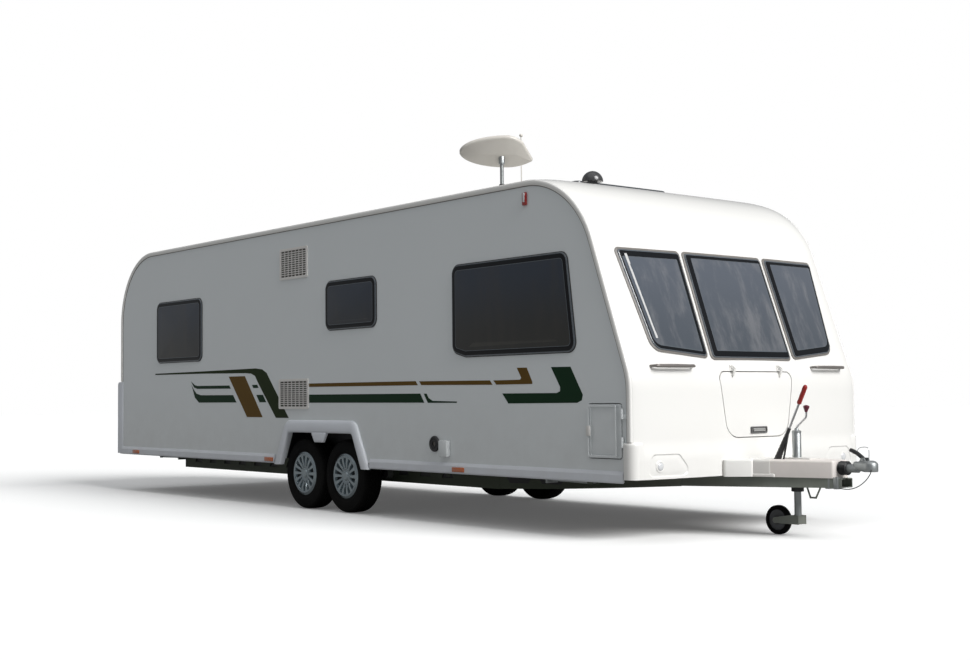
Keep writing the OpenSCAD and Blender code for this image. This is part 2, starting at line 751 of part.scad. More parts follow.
// Each rooflight is [its rear edge, length, width]
roof_windows = [[fr(1905), 700, body_w - 2 * roof_light_in], [fr(4038), 440, 440], [st(1300), 440, 440]];
roof_lap = 45;
roof_light_h = 56;
module roof_holes() {
    for (r = roof_windows) block([r[0] + roof_lap, r[0] + r[1] - roof_lap],
        [-r[2] / 2 + roof_lap, r[2] / 2 - roof_lap], [brow_z, roof_edge_z + skin_reach]);
}
module rooflights() {
    color("#d8dadc") for (r = roof_windows) intersection() {
        layer(roof_line, seat, roof_light_h);
        translate([0, 0, brow_z]) linear_extrude(2 * roof_r) rounded([r[0], -r[2] / 2], [r[0] + r[1],
            r[2] / 2], roof_lap);
    }
}
vent_x = fr(1065);
vent_y = -half_w + 717;
vent_base_r = 66;
vent_neck_r = 40;
dome_r = 74;
gland_r = 46;
gland_h = 62;
module roof_vent() {
    color("#2c2c2e") {
        translate([vent_x, vent_y, roof_z(vent_y)]) rotate_extrude()
            polygon(concat([[0, 6], [vent_base_r, 6], [vent_neck_r, 12], [vent_neck_r, vent_neck_r]],
                [for (a = [0:10:90]) [dome_r * cos(a), vent_neck_r + dome_r * sin(a)]]));
        intersection() {
            layer(roof_line, seat, 2 * gland_h);
            union() {
                translate([vent_x, vent_y, roof_edge_z]) cylinder(h = roof_z(vent_y) - roof_edge_z + 8,
                    r = vent_base_r);
                translate([mast_x, mast_y, roof_edge_z]) difference() {
                    cylinder(h = roof_z(mast_y) - roof_edge_z + gland_h, r = gland_r);
                    translate([0, 0, -over]) cylinder(h = skin_reach, r = mast_r + seat);
                }
            }
        }
    }
}
whip_x = fr(1774);
whip_y = -half_w + 630;
whip_h = 480;
whip_foot_r = 16;
module whip_aerial() {
    color("#d8d8d8") translate([whip_x, whip_y, roof_z(whip_y + whip_foot_r) + seat]) {
        cylinder(h = whip_h, r = 4);
        translate([0, 0, whip_h]) sphere(14);
        cylinder(h = 22, r = whip_foot_r);
    }
}
mast_x = fr(mast_back);
mast_y = -half_w + 280;
mast_r = 14;
mast_in = 180;
module aerial_mast() {
    color("#c8c8c8") translate([mast_x, mast_y,
        roof_z(mast_y) - mast_in]) cylinder(h = mast_h + mast_in, r = mast_r);
}
// The aerial's shell: balls [along, across, radius] that its skin wraps
head_turn = 51;
head_tilt = -42;
head_balls = [[-290, 0, 24], [-120, -85, 26], [-120, 85, 26], [60, -125, 24], [60, 125, 24], [165, -70,
    22], [165, 70, 22],
    [-20, 0, 44]];
module aerial_head() {
    color("white") translate([mast_x, mast_y, roof_z(mast_y) + mast_h + seat]) {
        translate([0, 0, 95]) rotate([0, 0, head_turn]) rotate([head_tilt, 0, 0]) hull()
            for (b = head_balls) translate([b[0], b[1], 0]) sphere(b[2], $fn = 24);
        cylinder(h = 60, r = 24);
    }
}

// Floor and chassis
module floor_panel() {
    color("#8a7a60") difference() {
        translate([0, 0, floor_z]) linear_extrude(floor_t) polygon(concat(
            [for (f = cols) if (abs(f) < in_share) [front_x + inner(0, f) - seat, f * half_w]],
            [for (i = [len(cols) - 1:-1:0]) let(f = cols[i]) if (abs(f) < in_share)
                [wall_x - inner(180, f) + seat, f * half_w]]));
        both() block([axle_x - box_l, axle_x + box_l], [-half_w, -half_w + box_in], [floor_z - over,
            floor_z + floor_t + over]);
    }
}
rail_from = st(700);
rail_to = fr(1788);
hole_l = 150;
hole_h = 56;
hole_up = 60;
hole_gap = 300;
// Drawbar arms: each lies inside its rail, then bends in to the coupling
arm_from = fr(2188);
arm_bend = fr(1738);
arm_rear_z = 300;
arm_z = 342;
arm_top_z = 404;
arm_high_z = floor_z - rail_t - seat;
arm_w = 45;
arm_t = 6;
arm_start = [arm_bend, -rail_y + rail_t + seat];
arm_tip = [front_x + 815, -60];
arm_run = arm_tip - arm_start;
arm_turn = atan2(arm_run[1], arm_run[0]);
// Outer face of an arm at a place along the part
function arm_y(x) = arm_start[1] + (x - arm_start[0]) * tan(arm_turn);
module trapezoid(x, z) {
    polygon([[x - hole_l / 2, z], [x + hole_l / 2, z], [x + hole_l / 2 - 30, z + hole_h],
        [x - hole_l / 2 + 30, z + hole_h]]);
}
// An arm as a solid bar, or with in as the pocket that leaves a channel's walls
module arm_bar(in) {
    x0 = arm_from - in;
    x1 = arm_tip[0] + in;
    intersection() {
        linear_extrude(floor_z) polygon([[x0, arm_start[1] + in], [arm_start[0], arm_start[1] + in],
            [x1, arm_y(x1) + in],
            [x1, arm_y(x1) + arm_w + in], [arm_start[0], arm_start[1] + arm_w + in], [x0,
                arm_start[1] + arm_w + in]]);
        across(-half_w, half_w) polygon([[x0, arm_rear_z + in], [arm_start[0], arm_rear_z + in], [x1,
            arm_z + in],
            [x1, arm_top_z - in], [front_x, arm_top_z - in], [front_x - 190, arm_high_z - in], [x0,
                arm_high_z - in]]);
    }
}
module rail() {
    y0 = -rail_y;
    difference() {
        block([rail_from, rail_to], [y0, y0 + flange_w], [rail_z, floor_z]);
        block([rail_from - over, rail_to + over], [y0 + rail_t, y0 + flange_w + over],
            [rail_z + rail_t, floor_z - rail_t]);
        across(y0 - over, y0 + rail_t + over) for (x = [rail_from + hole_gap:hole_gap:arm_from])
            if (abs(x - axle_x) > axle_gap) trapezoid(x, rail_z + hole_up);
        for (s = [-1, 1]) translate([axle_x + s * axle_gap / 2 + arm_lead, y0 - over,
            tube_z]) rotate([-90, 0, 0])
            cylinder(h = 3 * over, r = tube_r + seat);
    }
    difference() {
        arm_bar(0);
        arm_bar(arm_t);
        translate([arm_start[0], arm_start[1], 0]) rotate([0, 0, arm_turn]) across(-over, over)
            for (u = [200:hole_gap:900]) trapezoid(u, arm_rear_z + 45);
    }
}
module chassis_rail_right() {
    color("#3c4440") rail();
}
module chassis_rail_left() {
    color("#3c4440") left() rail();
}
cross_at = [st(1100), fr(5038), fr(2438)];
cross_w = 50;
cross_h = 100;
nose_cross = fr(260);
module cross_members() {
    color("#3c4440") {
        for (c = cross_at) block([c - cross_w / 2, c + cross_w / 2], [-rail_y + rail_t, rail_y - rail_t],
            [floor_z - rail_t - cross_h, floor_z - rail_t]);
        w = -arm_y(nose_cross + cross_w / 2) - arm_t - seat;
        block([nose_cross - cross_w / 2, nose_cross + cross_w / 2], [-w, w], [arm_z + 14,
            arm_high_z - arm_t - seat]);
        both() for (x = [steady_front_x, steady_rear_x]) steady_bracket(x);
        jockey_plate();
    }
}
// Two cheeks and a pin that carry a corner steady
cheek_t = 8;
module steady_bracket(x) {
    for (s = [-1, 1]) let(y = -steady_y + s * (steady_w / 2 + 5 + cheek_t / 2))
        across(y - cheek_t / 2, y + cheek_t / 2) polygon([[x - 60, floor_z], [x - 22, steady_z - 22],
            [x + 22, steady_z - 22], [x + 60, floor_z]]);
    translate([x, -steady_y - steady_w / 2 - 6, steady_z]) rotate([-90, 0,
        0]) cylinder(h = steady_w + 12, r = steady_pin_r);
}
// The plate between the arms that clamps the jockey wheel's tube
module jockey_plate() {
    w = -arm_y(jockey_x + plate_front) - arm_t - seat;
    difference() {
        block([jockey_x - plate_rear, jockey_x + plate_front], [-w, w], [arm_z + 12, plate_z]);
        translate([jockey_x, 0, 0]) cylinder(h = 600, r = outer_r + seat);
    }
}
plate_front = 40;
plate_rear = 176;
plate_z = arm_top_z - 10;
arm_lead = 150;
tube_z = tyre_r + 20;
hub_y = half_w - tyre_in - tyre_w / 2;
spindle_r = 22;
module axles() {
    color("#4a4e50") for (s = [-1, 1]) let(x = axle_x + s * axle_gap / 2) {
        translate([x + arm_lead, -rail_y - 60, tube_z]) rotate([-90, 0,
            0]) cylinder(h = 2 * rail_y + 120, r = tube_r);
        both() {
            across(-rail_y - 60, -rail_y - 20) hull() {
                translate([x + arm_lead, tube_z]) circle(40);
                translate([x, tyre_r]) circle(32);
            }
            translate([x, -rail_y - 30, tyre_r]) rotate([90, 0, 0]) cylinder(h = hub_y - rail_y - 10,
                r = spindle_r);
        }
    }
}

// A road wheel, made about its own middle with its outer face to -Y
module tyre() {
    w = tyre_w / 2;
    color("#1c1c1d") rotate([90, 0, 0]) rotate_extrude() polygon([[rim_r + seat, -w + 22], [rim_r + 14,
        -w + 8], [tyre_r - 70, -w],
        [tyre_r - 22, -w + 8], [tyre_r - 4, -w + 26], [tyre_r, -w + 60], [tyre_r, w - 60], [tyre_r - 4,
            w - 26],
        [tyre_r - 22, w - 8], [tyre_r - 70, w], [rim_r + 14, w - 8], [rim_r + seat, w - 22]]);
}
spokes = 14;
module wheel() {
    w = tyre_w / 2;
    color("silver") rotate([90, 0, 0]) difference() {
        rotate_extrude() polygon([[spindle_r + seat, -10], [60, -10], [60, w - 40], [rim_r - 30,
            w - 40], [rim_r - 22, -w + 30],
            [rim_r, -w + 26], [rim_r, w - 22], [rim_r + 12, w - 10], [rim_r - 14, w - 8], [60, w - 12],
                [0, w - 8], [0, w - 30],
            [spindle_r + seat, w - 30]]);
        for (i = [0:spokes - 1]) rotate([0, 0, 360 * i / spokes]) translate([0, 0,
            w - 60]) linear_extrude(100)
            polygon([[76, -7], [rim_r - 36, -20], [rim_r - 36, 20], [76, 7]]);
    }
}
module wheel_place(fore, side) {
    translate([axle_x + fore * axle_gap / 2, side * hub_y, tyre_r]) rotate([0, 0,
        side > 0 ? 180 : 0]) children();
}
module tyre_front_right() wheel_place(1, -1) tyre();
module tyre_front_left() wheel_place(1, 1) tyre();
module tyre_rear_right() wheel_place(-1, -1) tyre();
module tyre_rear_left() wheel_place(-1, 1) tyre();
module wheel_front_right() wheel_place(1, -1) wheel();
module wheel_front_left() wheel_place(1, 1) wheel();
module wheel_rear_right() wheel_place(-1, -1) wheel();
module wheel_rear_left() wheel_place(-1, 1) wheel();

// Drawbar
head_z = 492;
shaft_z = 470;
bellows_r = 46;
ball_x = tip_x - 48;
lever_w = 14;
module coupling_head() {
    color("#8a8e90") difference() {
        union() {
            hull() {
                translate([ball_x, 0, head_z - 40]) cylinder(h = 56, r = tip_x - ball_x, $fn = 32);
                translate([ball_x, 0, head_z]) cylinder(h = 32, r = 30, $fn = 32);
                translate([tip_x - 150, 0, head_z - 24]) cylinder(h = 46, r = 26, $fn = 32);
            }
            rod([tip_x - 215, 0, shaft_z], [tip_x - 140, 0, shaft_z], 28);
            across(-lever_w, lever_w) hull() {
                translate([tip_x - 92, head_z + 36]) circle(12, $fn = 24);
                translate([tip_x - 150, head_z + 76]) circle(13, $fn = 24);
                translate([tip_x - 205, head_z + 98]) circle(11, $fn = 24);
            }
            for (s = [-1, 1]) across(s * 22 - 4, s * 22 + 4) polygon([[tip_x - 130, head_z],
                [tip_x - 60, head_z], [tip_x - 78, head_z + 50],
                [tip_x - 104, head_z + 50]]);
            rod([tip_x - 92, -26, head_z + 36], [tip_x - 92, 26, head_z + 36], 6);
        }
        translate([ball_x, 0, head_z - 60]) cylinder(h = 62, r = ball_r);
    }
}
bellows_l = 66;
bellows_folds = 5;
fold_d = 9;
module overrun_bellows() {
    color("#1a1a1b") translate([tip_x - 215, 0, shaft_z]) rotate([0, -90,
        0]) rotate_extrude() polygon(concat([[0, 0]],
        [for (i = [0:2 * bellows_folds]) [i % 2 == 0 ? bellows_r - fold_d : bellows_r,
            bellows_l * i / bellows_folds / 2]], [[0, bellows_l]]));
}
// The overrun housing under the cover, bolted on the arms, with the handbrake's boss
house_w = 46;
house_l = 305;
neck_l = 30;
module overrun_unit() {
    color("#565b5e") {
        block([cover_x1 - house_l, cover_x1 - cover_t - seat], [-house_w, house_w], [shaft_z - 40,
            shaft_z + 30]);
        translate([cover_x1, 0, shaft_z]) rotate([0, -90, 0]) cylinder(h = neck_l, r = bellows_r - 4);
        block([cover_x1 - house_l, cover_x1 - 20], [-house_w - 20, house_w + 20], [arm_top_z,
            shaft_z - 40]);
        for (i = [0:len(loop_route) - 2]) rod(loop_route[i], loop_route[i + 1], loop_r);
        for (i = [1:len(loop_route) - 2]) translate(loop_route[i]) sphere(loop_r + 1);
    }
}
// The bent rod that hangs under the drawbar
loop_r = 6;
loop_x = tip_x - 500;
loop_route = [[loop_x - 60, 0, arm_top_z + 8], [loop_x - 60, 0, arm_z], [loop_x - 30, 0, 264],
    [loop_x + 16, 0, 264], [loop_x + 58, 0, arm_z],
    [loop_x + 58, 0, arm_top_z + 8]];
cover_x1 = tip_x - 281;
cover_x0 = front_x + skin_edge + front_bow + valance_t + 2;
cover_t = 4;
cover_h = 116;
cover_rear_y = 300;
cover_tip_y = 82;
cover_r = 18;
chamfer = 14;
shoulder_l = 135;
shoulder_t = 5;
module cover_outline(in) {
    soft([[cover_x0 + in, -cover_rear_y + in], [cover_x1 - in, -cover_tip_y + in], [cover_x1 - in,
        cover_tip_y - in],
        [cover_x0 + in, cover_rear_y - in]], cover_r - min(in, cover_r - 6));
}
module drawbar_cover() {
    color("#d6d4d0") translate([0, 0, arm_top_z + seat]) difference() {
        union() {
            linear_extrude(cover_h - chamfer) cover_outline(0);
            hull() {
                translate([0, 0, cover_h - chamfer - 1]) linear_extrude(1) cover_outline(0);
                translate([0, 0, cover_h - 1]) linear_extrude(1) cover_outline(10);
            }
            intersection() {
                linear_extrude(cover_h - chamfer - 4) cover_outline(-shoulder_t);
                block([cover_x0, cover_x0 + shoulder_l], [-2 * cover_rear_y, 2 * cover_rear_y], [0,
                    cover_h]);
            }
        }
        translate([0, 0, -over]) linear_extrude(cover_h - cover_t - chamfer + over) cover_outline(cover_t);
        translate([0, 0, -over]) linear_extrude(cover_h - cover_t + over) cover_outline(cover_t + chamfer);
        translate([jockey_x, 0, 0]) cylinder(h = 2 * cover_h, r = outer_r + 5);
        block([brake_x - 30, brake_x + 110], [brake_y - 24, brake_y + 24], [0, 2 * cover_h]);
        rotate([0, 90, 0]) translate([-(shaft_z - arm_top_z), 0,
            cover_x1 - over]) cylinder(h = 2 * over, r = bellows_r + 2);
    }
}
brake_x = front_x + 306;
brake_front = 50;
brake_half = 18;
brake_y = arm_y(brake_x + brake_front) + arm_w + brake_half + 6;
brake_foot = [brake_x, brake_y, 440];
brake_top = [front_x + 586, brake_y, 1000];
// A place along the lever, from its pivot to its top
function on_brake(share) = brake_foot + share * (brake_top - brake_foot);
module handbrake_lever() {
    color("#3a3a3c") {
        block([brake_x - 40, brake_x + brake_front], [brake_y - brake_half, brake_y + brake_half],
            [plate_z, brake_foot[2] + 10]);
        rod(brake_foot, brake_top, 9);
        rod(on_brake(0.15), on_brake(0.47), 19, 12);
        rod(on_brake(0.81), brake_top, 16);
        translate(brake_top) sphere(16);
        rod([brake_x + 40, brake_y, brake_foot[2]], on_brake(0.48), 6);
    }
}
jockey_x = front_x + jockey_out;
outer_r = 30;
stem_r = 24;
tube_low_z = 300;
tube_top_z = 695;
crank_r = 9;
collar_r = 42;
module jockey_tube() {
    color("silver") {
        translate([jockey_x, 0, tube_low_z]) difference() {
            cylinder(h = tube_top_z - tube_low_z, r = outer_r);
            translate([0, 0, -over]) cylinder(h = tube_top_z - tube_low_z - 15 + over, r = stem_r + seat);
        }
        rod([jockey_x, 0, tube_top_z - 2], [jockey_x, 0, tube_top_z + 38], crank_r);
        rod([jockey_x, 0, tube_top_z + 32], [jockey_x + 84, 0, tube_top_z + 108], crank_r);
        rod([jockey_x + 77, 0, tube_top_z + 97], [jockey_x + 86, 0, tube_top_z + 146], crank_r - 1.5);
        rod([jockey_x + 86, 0, tube_top_z + 136], [jockey_x + 88, 0, tube_top_z + 186], 12, 24);
        translate([jockey_x, 0, tube_low_z]) difference() {
            cylinder(h = 40, r = collar_r);
            translate([0, 0, -over]) cylinder(h = 40 + 2 * over, r = outer_r - 1);
        }
    }
}
module jockey_stem() {
    color("silver") translate([jockey_x, 0, jockey_r - 20]) cylinder(h = 520, r = stem_r);
}
module jockey_fork() {
    color("#5a6058") difference() {
        union() {
            for (s = [-1, 1]) across(s * 38 - 4, s * 38 + 4) hull() {
                translate([jockey_x, jockey_r + 10]) square([70, 60], center = true);
                translate([jockey_x - jockey_trail, jockey_r]) circle(20);
            }
            block([jockey_x - 34, jockey_x + 34], [-36, 36], [jockey_r - 18, jockey_r + 38]);
            translate([jockey_x - jockey_trail, -42, jockey_r]) rotate([-90, 0, 0]) cylinder(h = 84, r = 8);
        }
        translate([jockey_x, 0, 0]) cylinder(h = 300, r = stem_r + seat);
    }
}
jockey_w = 54;
jockey_bore = 8 + seat;
module jockey_wheel() {
    w = jockey_w / 2;
    color("#3a3d40") translate([jockey_x - jockey_trail, 0, jockey_r]) rotate([90, 0, 0]) rotate_extrude()
        polygon([[jockey_bore, -w], [24, -w], [24, -w + 13], [jockey_r - 30, -w + 13], [jockey_r - 26,
            -w + 5], [jockey_r - 12, -w],
            [jockey_r - 3, -w + 5], [jockey_r, -w + 15], [jockey_r, w - 15], [jockey_r - 3, w - 5],
                [jockey_r - 12, w],
            [jockey_r - 26, w - 5], [jockey_r - 30, w - 13], [24, w - 13], [24, w], [jockey_bore, w]]);
}

// Corner steadies, stowed flat under the floor
steady_l = 420;
steady_z = floor_z - 62;
steady_y = half_w - 280;
steady_w = 40;
steady_front_x = fr(638);
steady_rear_x = st(420);
steady_pin_r = 9;
module steady(x, dir) {
    color("#6a7070") difference() {
        union() {
            across(-steady_y - steady_w / 2, -steady_y + steady_w / 2) hull() {
                translate([x, steady_z]) circle(20);
                translate([x + dir * steady_l, steady_z]) circle(14);
            }
            block([min(x + dir * steady_l, x + dir * (steady_l + 20)), max(x + dir * steady_l,
                x + dir * (steady_l + 20))],
                [-steady_y - 50, -steady_y + 50], [steady_z - 30, steady_z + 30]);
        }
        translate([x, -steady_y - 100, steady_z]) rotate([-90, 0, 0]) cylinder(h = 200,
            r = steady_pin_r + seat);
    }
}
module steady_front_right() steady(steady_front_x, -1);
module steady_front_left() left() steady(steady_front_x, -1);
module steady_rear_right() steady(steady_rear_x, 1);
module steady_rear_left() left() steady(steady_rear_x, 1);

// The breakaway cable: from under the arms, down and round to the coupling's nose, as [back from the tip, y, z]
cable_r = 3;
cable_route = [[268, -45, 338.4], [260, -45, 338.3], [246, -45.4, 337.6], [228, -46, 336.2], [206,
    -47.2, 335.4], [182, -49, 336.8],
    [154, -51, 341.6], [126, -53, 350], [99, -55, 362], [74, -56, 377], [52, -56, 394], [34, -55, 413],
        [21, -51, 433],
    [16.4, -47.4, 444], [15, -43.4, 456], [15, -39.4, 468]];
cable_sides = 8;
cable_points = [for (p = cable_route) [tip_x - p[0], p[1], p[2]]];
cable_last = len(cable_route) - 1;
function unit(q) = q / norm(q);
// A ring of points about one point of the cable, square to its run
function cable_ring(i) = let(p = cable_points, t = unit(p[min(i + 1, cable_last)] - p[max(i - 1, 0)]),
    n = unit(cross(t, [0, 1, 0])), b = cross(n, t))
    [for (k = [0:cable_sides - 1]) let(a = 360 * k / cable_sides) p[i] + cable_r * (cos(a) * n + sin(a)
        * b)];
module breakaway_cable() {
    m = cable_sides;
    color("#2a2a2c") polyhedron([for (i = [0:cable_last], q = cable_ring(i)) q], concat(
        [for (i = [0:cable_last - 1], k = [0:m - 1], t = quad(i * m + k, i * m + (k + 1) % m,
            (i + 1) * m + (k + 1) % m, (i + 1) * m + k)) t],
        [[for (k = [m - 1:-1:0]) k], [for (k = [0:m - 1]) cable_last * m + k]]));
}

// The water inlet, and the mains socket's box ahead of it
inlet_x = fr(2083);
inlet_z = 603;
inlet_r = 60;
inlet_bore = 20;
inlet_t = 16;
socket_x = fr(1943);
socket_z = 570;
socket_l = 104;
socket_h = 127;
socket_t = 40;
module side_fittings() {
    color("#303234") {
        translate([inlet_x, -half_w, inlet_z]) rotate([90, 0, 0]) difference() {
            cylinder(h = inlet_t, r = inlet_r);
            cylinder(h = 2 * inlet_t, r = inlet_bore);
        }
        block([socket_x - socket_l / 2, socket_x + socket_l / 2], [-half_w - socket_t, -half_w],
            [socket_z - socket_h / 2, socket_z + socket_h / 2]);
    }
}

floor_panel();
chassis_rail_right();
chassis_rail_left();
cross_members();
axles();
tyre_front_right();
tyre_front_left();
tyre_rear_right();
tyre_rear_left();
wheel_front_right();
wheel_front_left();
wheel_rear_right();
wheel_rear_left();
side_wall_right();
side_wall_left();
front_panel();
rear_panel();
roof_panel();
side_windows_right();
side_windows_left();
front_windows();
rear_window();
entrance_door();
door_window();
gas_locker_lid();
gas_locker_box();
service_door();
hinge_brackets();
fridge_vents();
skirt_rails();
wheel_spats();
wheel_boxes();
front_valance();
rear_bumper();
rear_lamps();
position_lamps();
side_markers();
grab_handles();
awning_rails();
rooflights();
roof_vent();
whip_aerial();
aerial_mast();
aerial_head();
coupling_head();
overrun_bellows();
overrun_unit();
drawbar_cover();
handbrake_lever();
jockey_tube();
jockey_stem();
jockey_fork();
jockey_wheel();
steady_front_right();
steady_front_left();
steady_rear_right();
steady_rear_left();
side_fittings();
breakaway_cable();
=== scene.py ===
# %% [markdown]
# # A twin-axle travel caravan
# The caravan's pieces come from its construction model at their real size. This lesson dresses them: it
# swaps the faceted shells for smooth ones made by the same rule, and gives every surface its finish.

# %% Load the construction model
import json
import math

import bmesh
import bpy
from mathutils import Matrix, Vector


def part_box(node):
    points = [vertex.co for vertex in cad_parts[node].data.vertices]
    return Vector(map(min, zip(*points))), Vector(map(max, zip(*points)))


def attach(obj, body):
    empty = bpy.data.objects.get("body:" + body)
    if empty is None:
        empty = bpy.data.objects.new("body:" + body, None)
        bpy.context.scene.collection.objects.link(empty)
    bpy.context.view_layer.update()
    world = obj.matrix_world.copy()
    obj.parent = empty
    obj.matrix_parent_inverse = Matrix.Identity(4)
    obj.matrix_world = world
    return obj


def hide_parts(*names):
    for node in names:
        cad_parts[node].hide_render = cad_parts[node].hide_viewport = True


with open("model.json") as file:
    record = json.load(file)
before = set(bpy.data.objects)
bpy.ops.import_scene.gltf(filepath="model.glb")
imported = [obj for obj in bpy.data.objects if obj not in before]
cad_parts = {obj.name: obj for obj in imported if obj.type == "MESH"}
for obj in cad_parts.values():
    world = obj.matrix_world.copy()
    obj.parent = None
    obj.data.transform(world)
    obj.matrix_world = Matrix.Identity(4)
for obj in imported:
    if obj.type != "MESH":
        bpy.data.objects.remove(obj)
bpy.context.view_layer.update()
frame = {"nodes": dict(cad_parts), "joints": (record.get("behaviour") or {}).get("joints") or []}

# %% [markdown]
# ## Main sizes
# Everything hangs on the side wall, so its box gives the body's length, width and height. Places along
# the body are stations, measured from the rear wall in metres.

# %% Main sizes from the frame
wall_low, wall_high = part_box("side_wall_right")
REAR_X = wall_low.x
FRONT_X = wall_high.x
HALF_W = -wall_low.y
EAVES_Z = wall_high.z
WALL_T = wall_high.y - wall_low.y
TIP_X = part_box("coupling_head")[1].x
ROOT = "caravan"
RIGHT = -1
LEFT = 1
SIDES = ((RIGHT, "right"), (LEFT, "left"))


def station(d):
    """A place along the body, measured from the rear wall."""
    return REAR_X + d


print("body", round(FRONT_X - REAR_X, 3), "long,", round(2 * HALF_W, 3), "wide")

# %% [markdown]
# ## Camera
# The photograph was taken from the right front corner, a little under a metre above the ground. The
# camera is given by its place, its heading, and a small tilt and roll.

# %% Camera
CAMERA_AT = Vector((9.768, -7.602, 0.956))
CAMERA_HEADING = math.radians(140.86)
CAMERA_TILT = math.radians(2.75)
CAMERA_ROLL = math.radians(-0.52)
camera = bpy.data.objects.new("camera", bpy.data.cameras.new("camera"))
camera.data.lens = 51.74
camera.data.sensor_width = 36
bpy.context.scene.collection.objects.link(camera)
ahead = Vector((math.cos(CAMERA_HEADING) * math.cos(CAMERA_TILT),
                math.sin(CAMERA_HEADING) * math.cos(CAMERA_TILT), math.sin(CAMERA_TILT)))
level = Vector((math.sin(CAMERA_HEADING), -math.cos(CAMERA_HEADING), 0))
upright = level.cross(ahead)
across = math.cos(CAMERA_ROLL) * level + math.sin(CAMERA_ROLL) * upright
upwards = math.cos(CAMERA_ROLL) * upright - math.sin(CAMERA_ROLL) * level
camera.matrix_world = Matrix((across, upwards, -ahead)).transposed().to_4x4()
camera.location = CAMERA_AT
bpy.context.scene.camera = camera
bpy.context.scene.view_settings.view_transform = "Standard"
print("camera at", tuple(round(v, 2) for v in CAMERA_AT))

# %% [markdown]
# ## Helpers for shader nodes
# A material in Blender is a tree of nodes joined by links. Short helpers make a node, a link, a sum, a mix
# of two colours and an empty material, so that the finishes further down read like recipes.


# %% Helpers for shader nodes
def node(tree, kind, **values):
    """A shader node with some of its inputs set."""
    made = tree.nodes.new(kind)
    for name, value in values.items():
        made.inputs[name.replace("_", " ")].default_value = value
    return made


def link(tree, source, target):
    tree.links.new(source, target)


def math_node(tree, operation, a, b):
    made = tree.nodes.new("ShaderNodeMath")
    made.operation = operation
    for slot_number, value in enumerate((a, b)):
        if isinstance(value, (int, float)):
            made.inputs[slot_number].default_value = value
        else:
            link(tree, value, made.inputs[slot_number])
    return made.outputs[0]


def mix_colour(tree, factor, a, b):
    made = tree.nodes.new("ShaderNodeMix")
    made.data_type = "RGBA"
    for label, value in (("Factor", factor), ("A", a), ("B", b)):
        socket = [s for s in made.inputs if s.name == label and (label == "Factor" or s.type == "RGBA")][0]
        if hasattr(value, "is_output"):
            link(tree, value, socket)
        else:
            socket.default_value = value
    return [s for s in made.outputs if s.type == "RGBA"][0]


def new_material(name):
    """A material with its tree and its shader."""
    material = bpy.data.materials.new(name)
    material.use_nodes = True
    return material, material.node_tree, material.node_tree.nodes["Principled BSDF"]


print("shader helpers ready")

# %% [markdown]
# ## Floor and light
# The front of the caravan faces the light and its right side is in shade. Two wide, soft suns do this:
# a key from ahead and a weak one from above. The floor looks pale, but throws back less light than it
# shows, so that the shaded side stays a calm grey.


# %% Floor and light
def soft_sun(name, towards, strength, spread):
    """A wide sun that shines from a direction."""
    sun = bpy.data.objects.new(name, bpy.data.lights.new(name, "SUN"))
    sun.data.energy = strength
    sun.data.angle = math.radians(spread)
    sun.rotation_euler = Vector(towards).to_track_quat("Z", "Y").to_euler()
    bpy.context.scene.collection.objects.link(sun)


soft_sun("key_light", (0.86, 0.12, 0.62), 3.4, 34)
soft_sun("top_light", (0.15, -0.25, 1.0), 0.5, 70)
world = bpy.data.worlds.new("studio")
bpy.context.scene.world = world
world.use_nodes = True
sky_tree = world.node_tree
sky = sky_tree.nodes["Background"]
sky.inputs["Color"].default_value = (0.93, 0.96, 1.0, 1)
sky.inputs["Strength"].default_value = 0.25
sky_for_camera = node(sky_tree, "ShaderNodeBackground", Color=(1, 1, 1, 1), Strength=1.0)
sky_choice = node(sky_tree, "ShaderNodeMixShader")
sky_path = node(sky_tree, "ShaderNodeLightPath")
link(sky_tree, sky_path.outputs["Is Camera Ray"], sky_choice.inputs[0])
link(sky_tree, sky.outputs[0], sky_choice.inputs[1])
link(sky_tree, sky_for_camera.outputs[0], sky_choice.inputs[2])
link(sky_tree, sky_choice.outputs[0], sky_tree.nodes["World Output"].inputs[0])

FLOOR_R = 90
FLOOR_GLOW = 0.09
FLOOR_GREY = (0.28, 0.28, 0.275, 1)
FLOOR_PALE = (0.97, 0.97, 0.96, 1)
floor_mesh = bmesh.new()
bmesh.ops.create_circle(floor_mesh, cap_ends=True, segments=96, radius=FLOOR_R)
floor = bpy.data.objects.new("floor", bpy.data.meshes.new("floor"))
floor_mesh.to_mesh(floor.data)
floor_mesh.free()
bpy.context.scene.collection.objects.link(floor)
floor_paint, floor_tree, floor_shader = new_material("floor")
floor_shader.inputs["Roughness"].default_value = 0.9
for_camera = node(floor_tree, "ShaderNodeLightPath").outputs["Is Camera Ray"]
floor_tone = mix_colour(floor_tree, for_camera, FLOOR_GREY, FLOOR_PALE)
link(floor_tree, floor_tone, floor_shader.inputs["Base Color"])
floor_light = math_node(floor_tree, "MULTIPLY", for_camera, FLOOR_GLOW)
link(floor_tree, floor_light, floor_shader.inputs["Emission Strength"])
floor.data.materials.append(floor_paint)

# %% [markdown]
# ## Shared surface effects
# Real finishes are never one flat colour. Three small node groups serve every material: one shifts a
# colour in soft patches, one lays road dust on the lower parts, and one gives a fine bump.


# %% Node groups for patches, dust and grain
def new_group(name, inputs, outputs):
    """An empty node group with its sockets, and its two end nodes."""
    group = bpy.data.node_groups.new(name, "ShaderNodeTree")
    for label, kind, value in inputs:
        socket = group.interface.new_socket(label, in_out="INPUT", socket_type=kind)
        socket.default_value = value
    for label, kind in outputs:
        group.interface.new_socket(label, in_out="OUTPUT", socket_type=kind)
    return group, group.nodes.new("NodeGroupInput"), group.nodes.new("NodeGroupOutput")


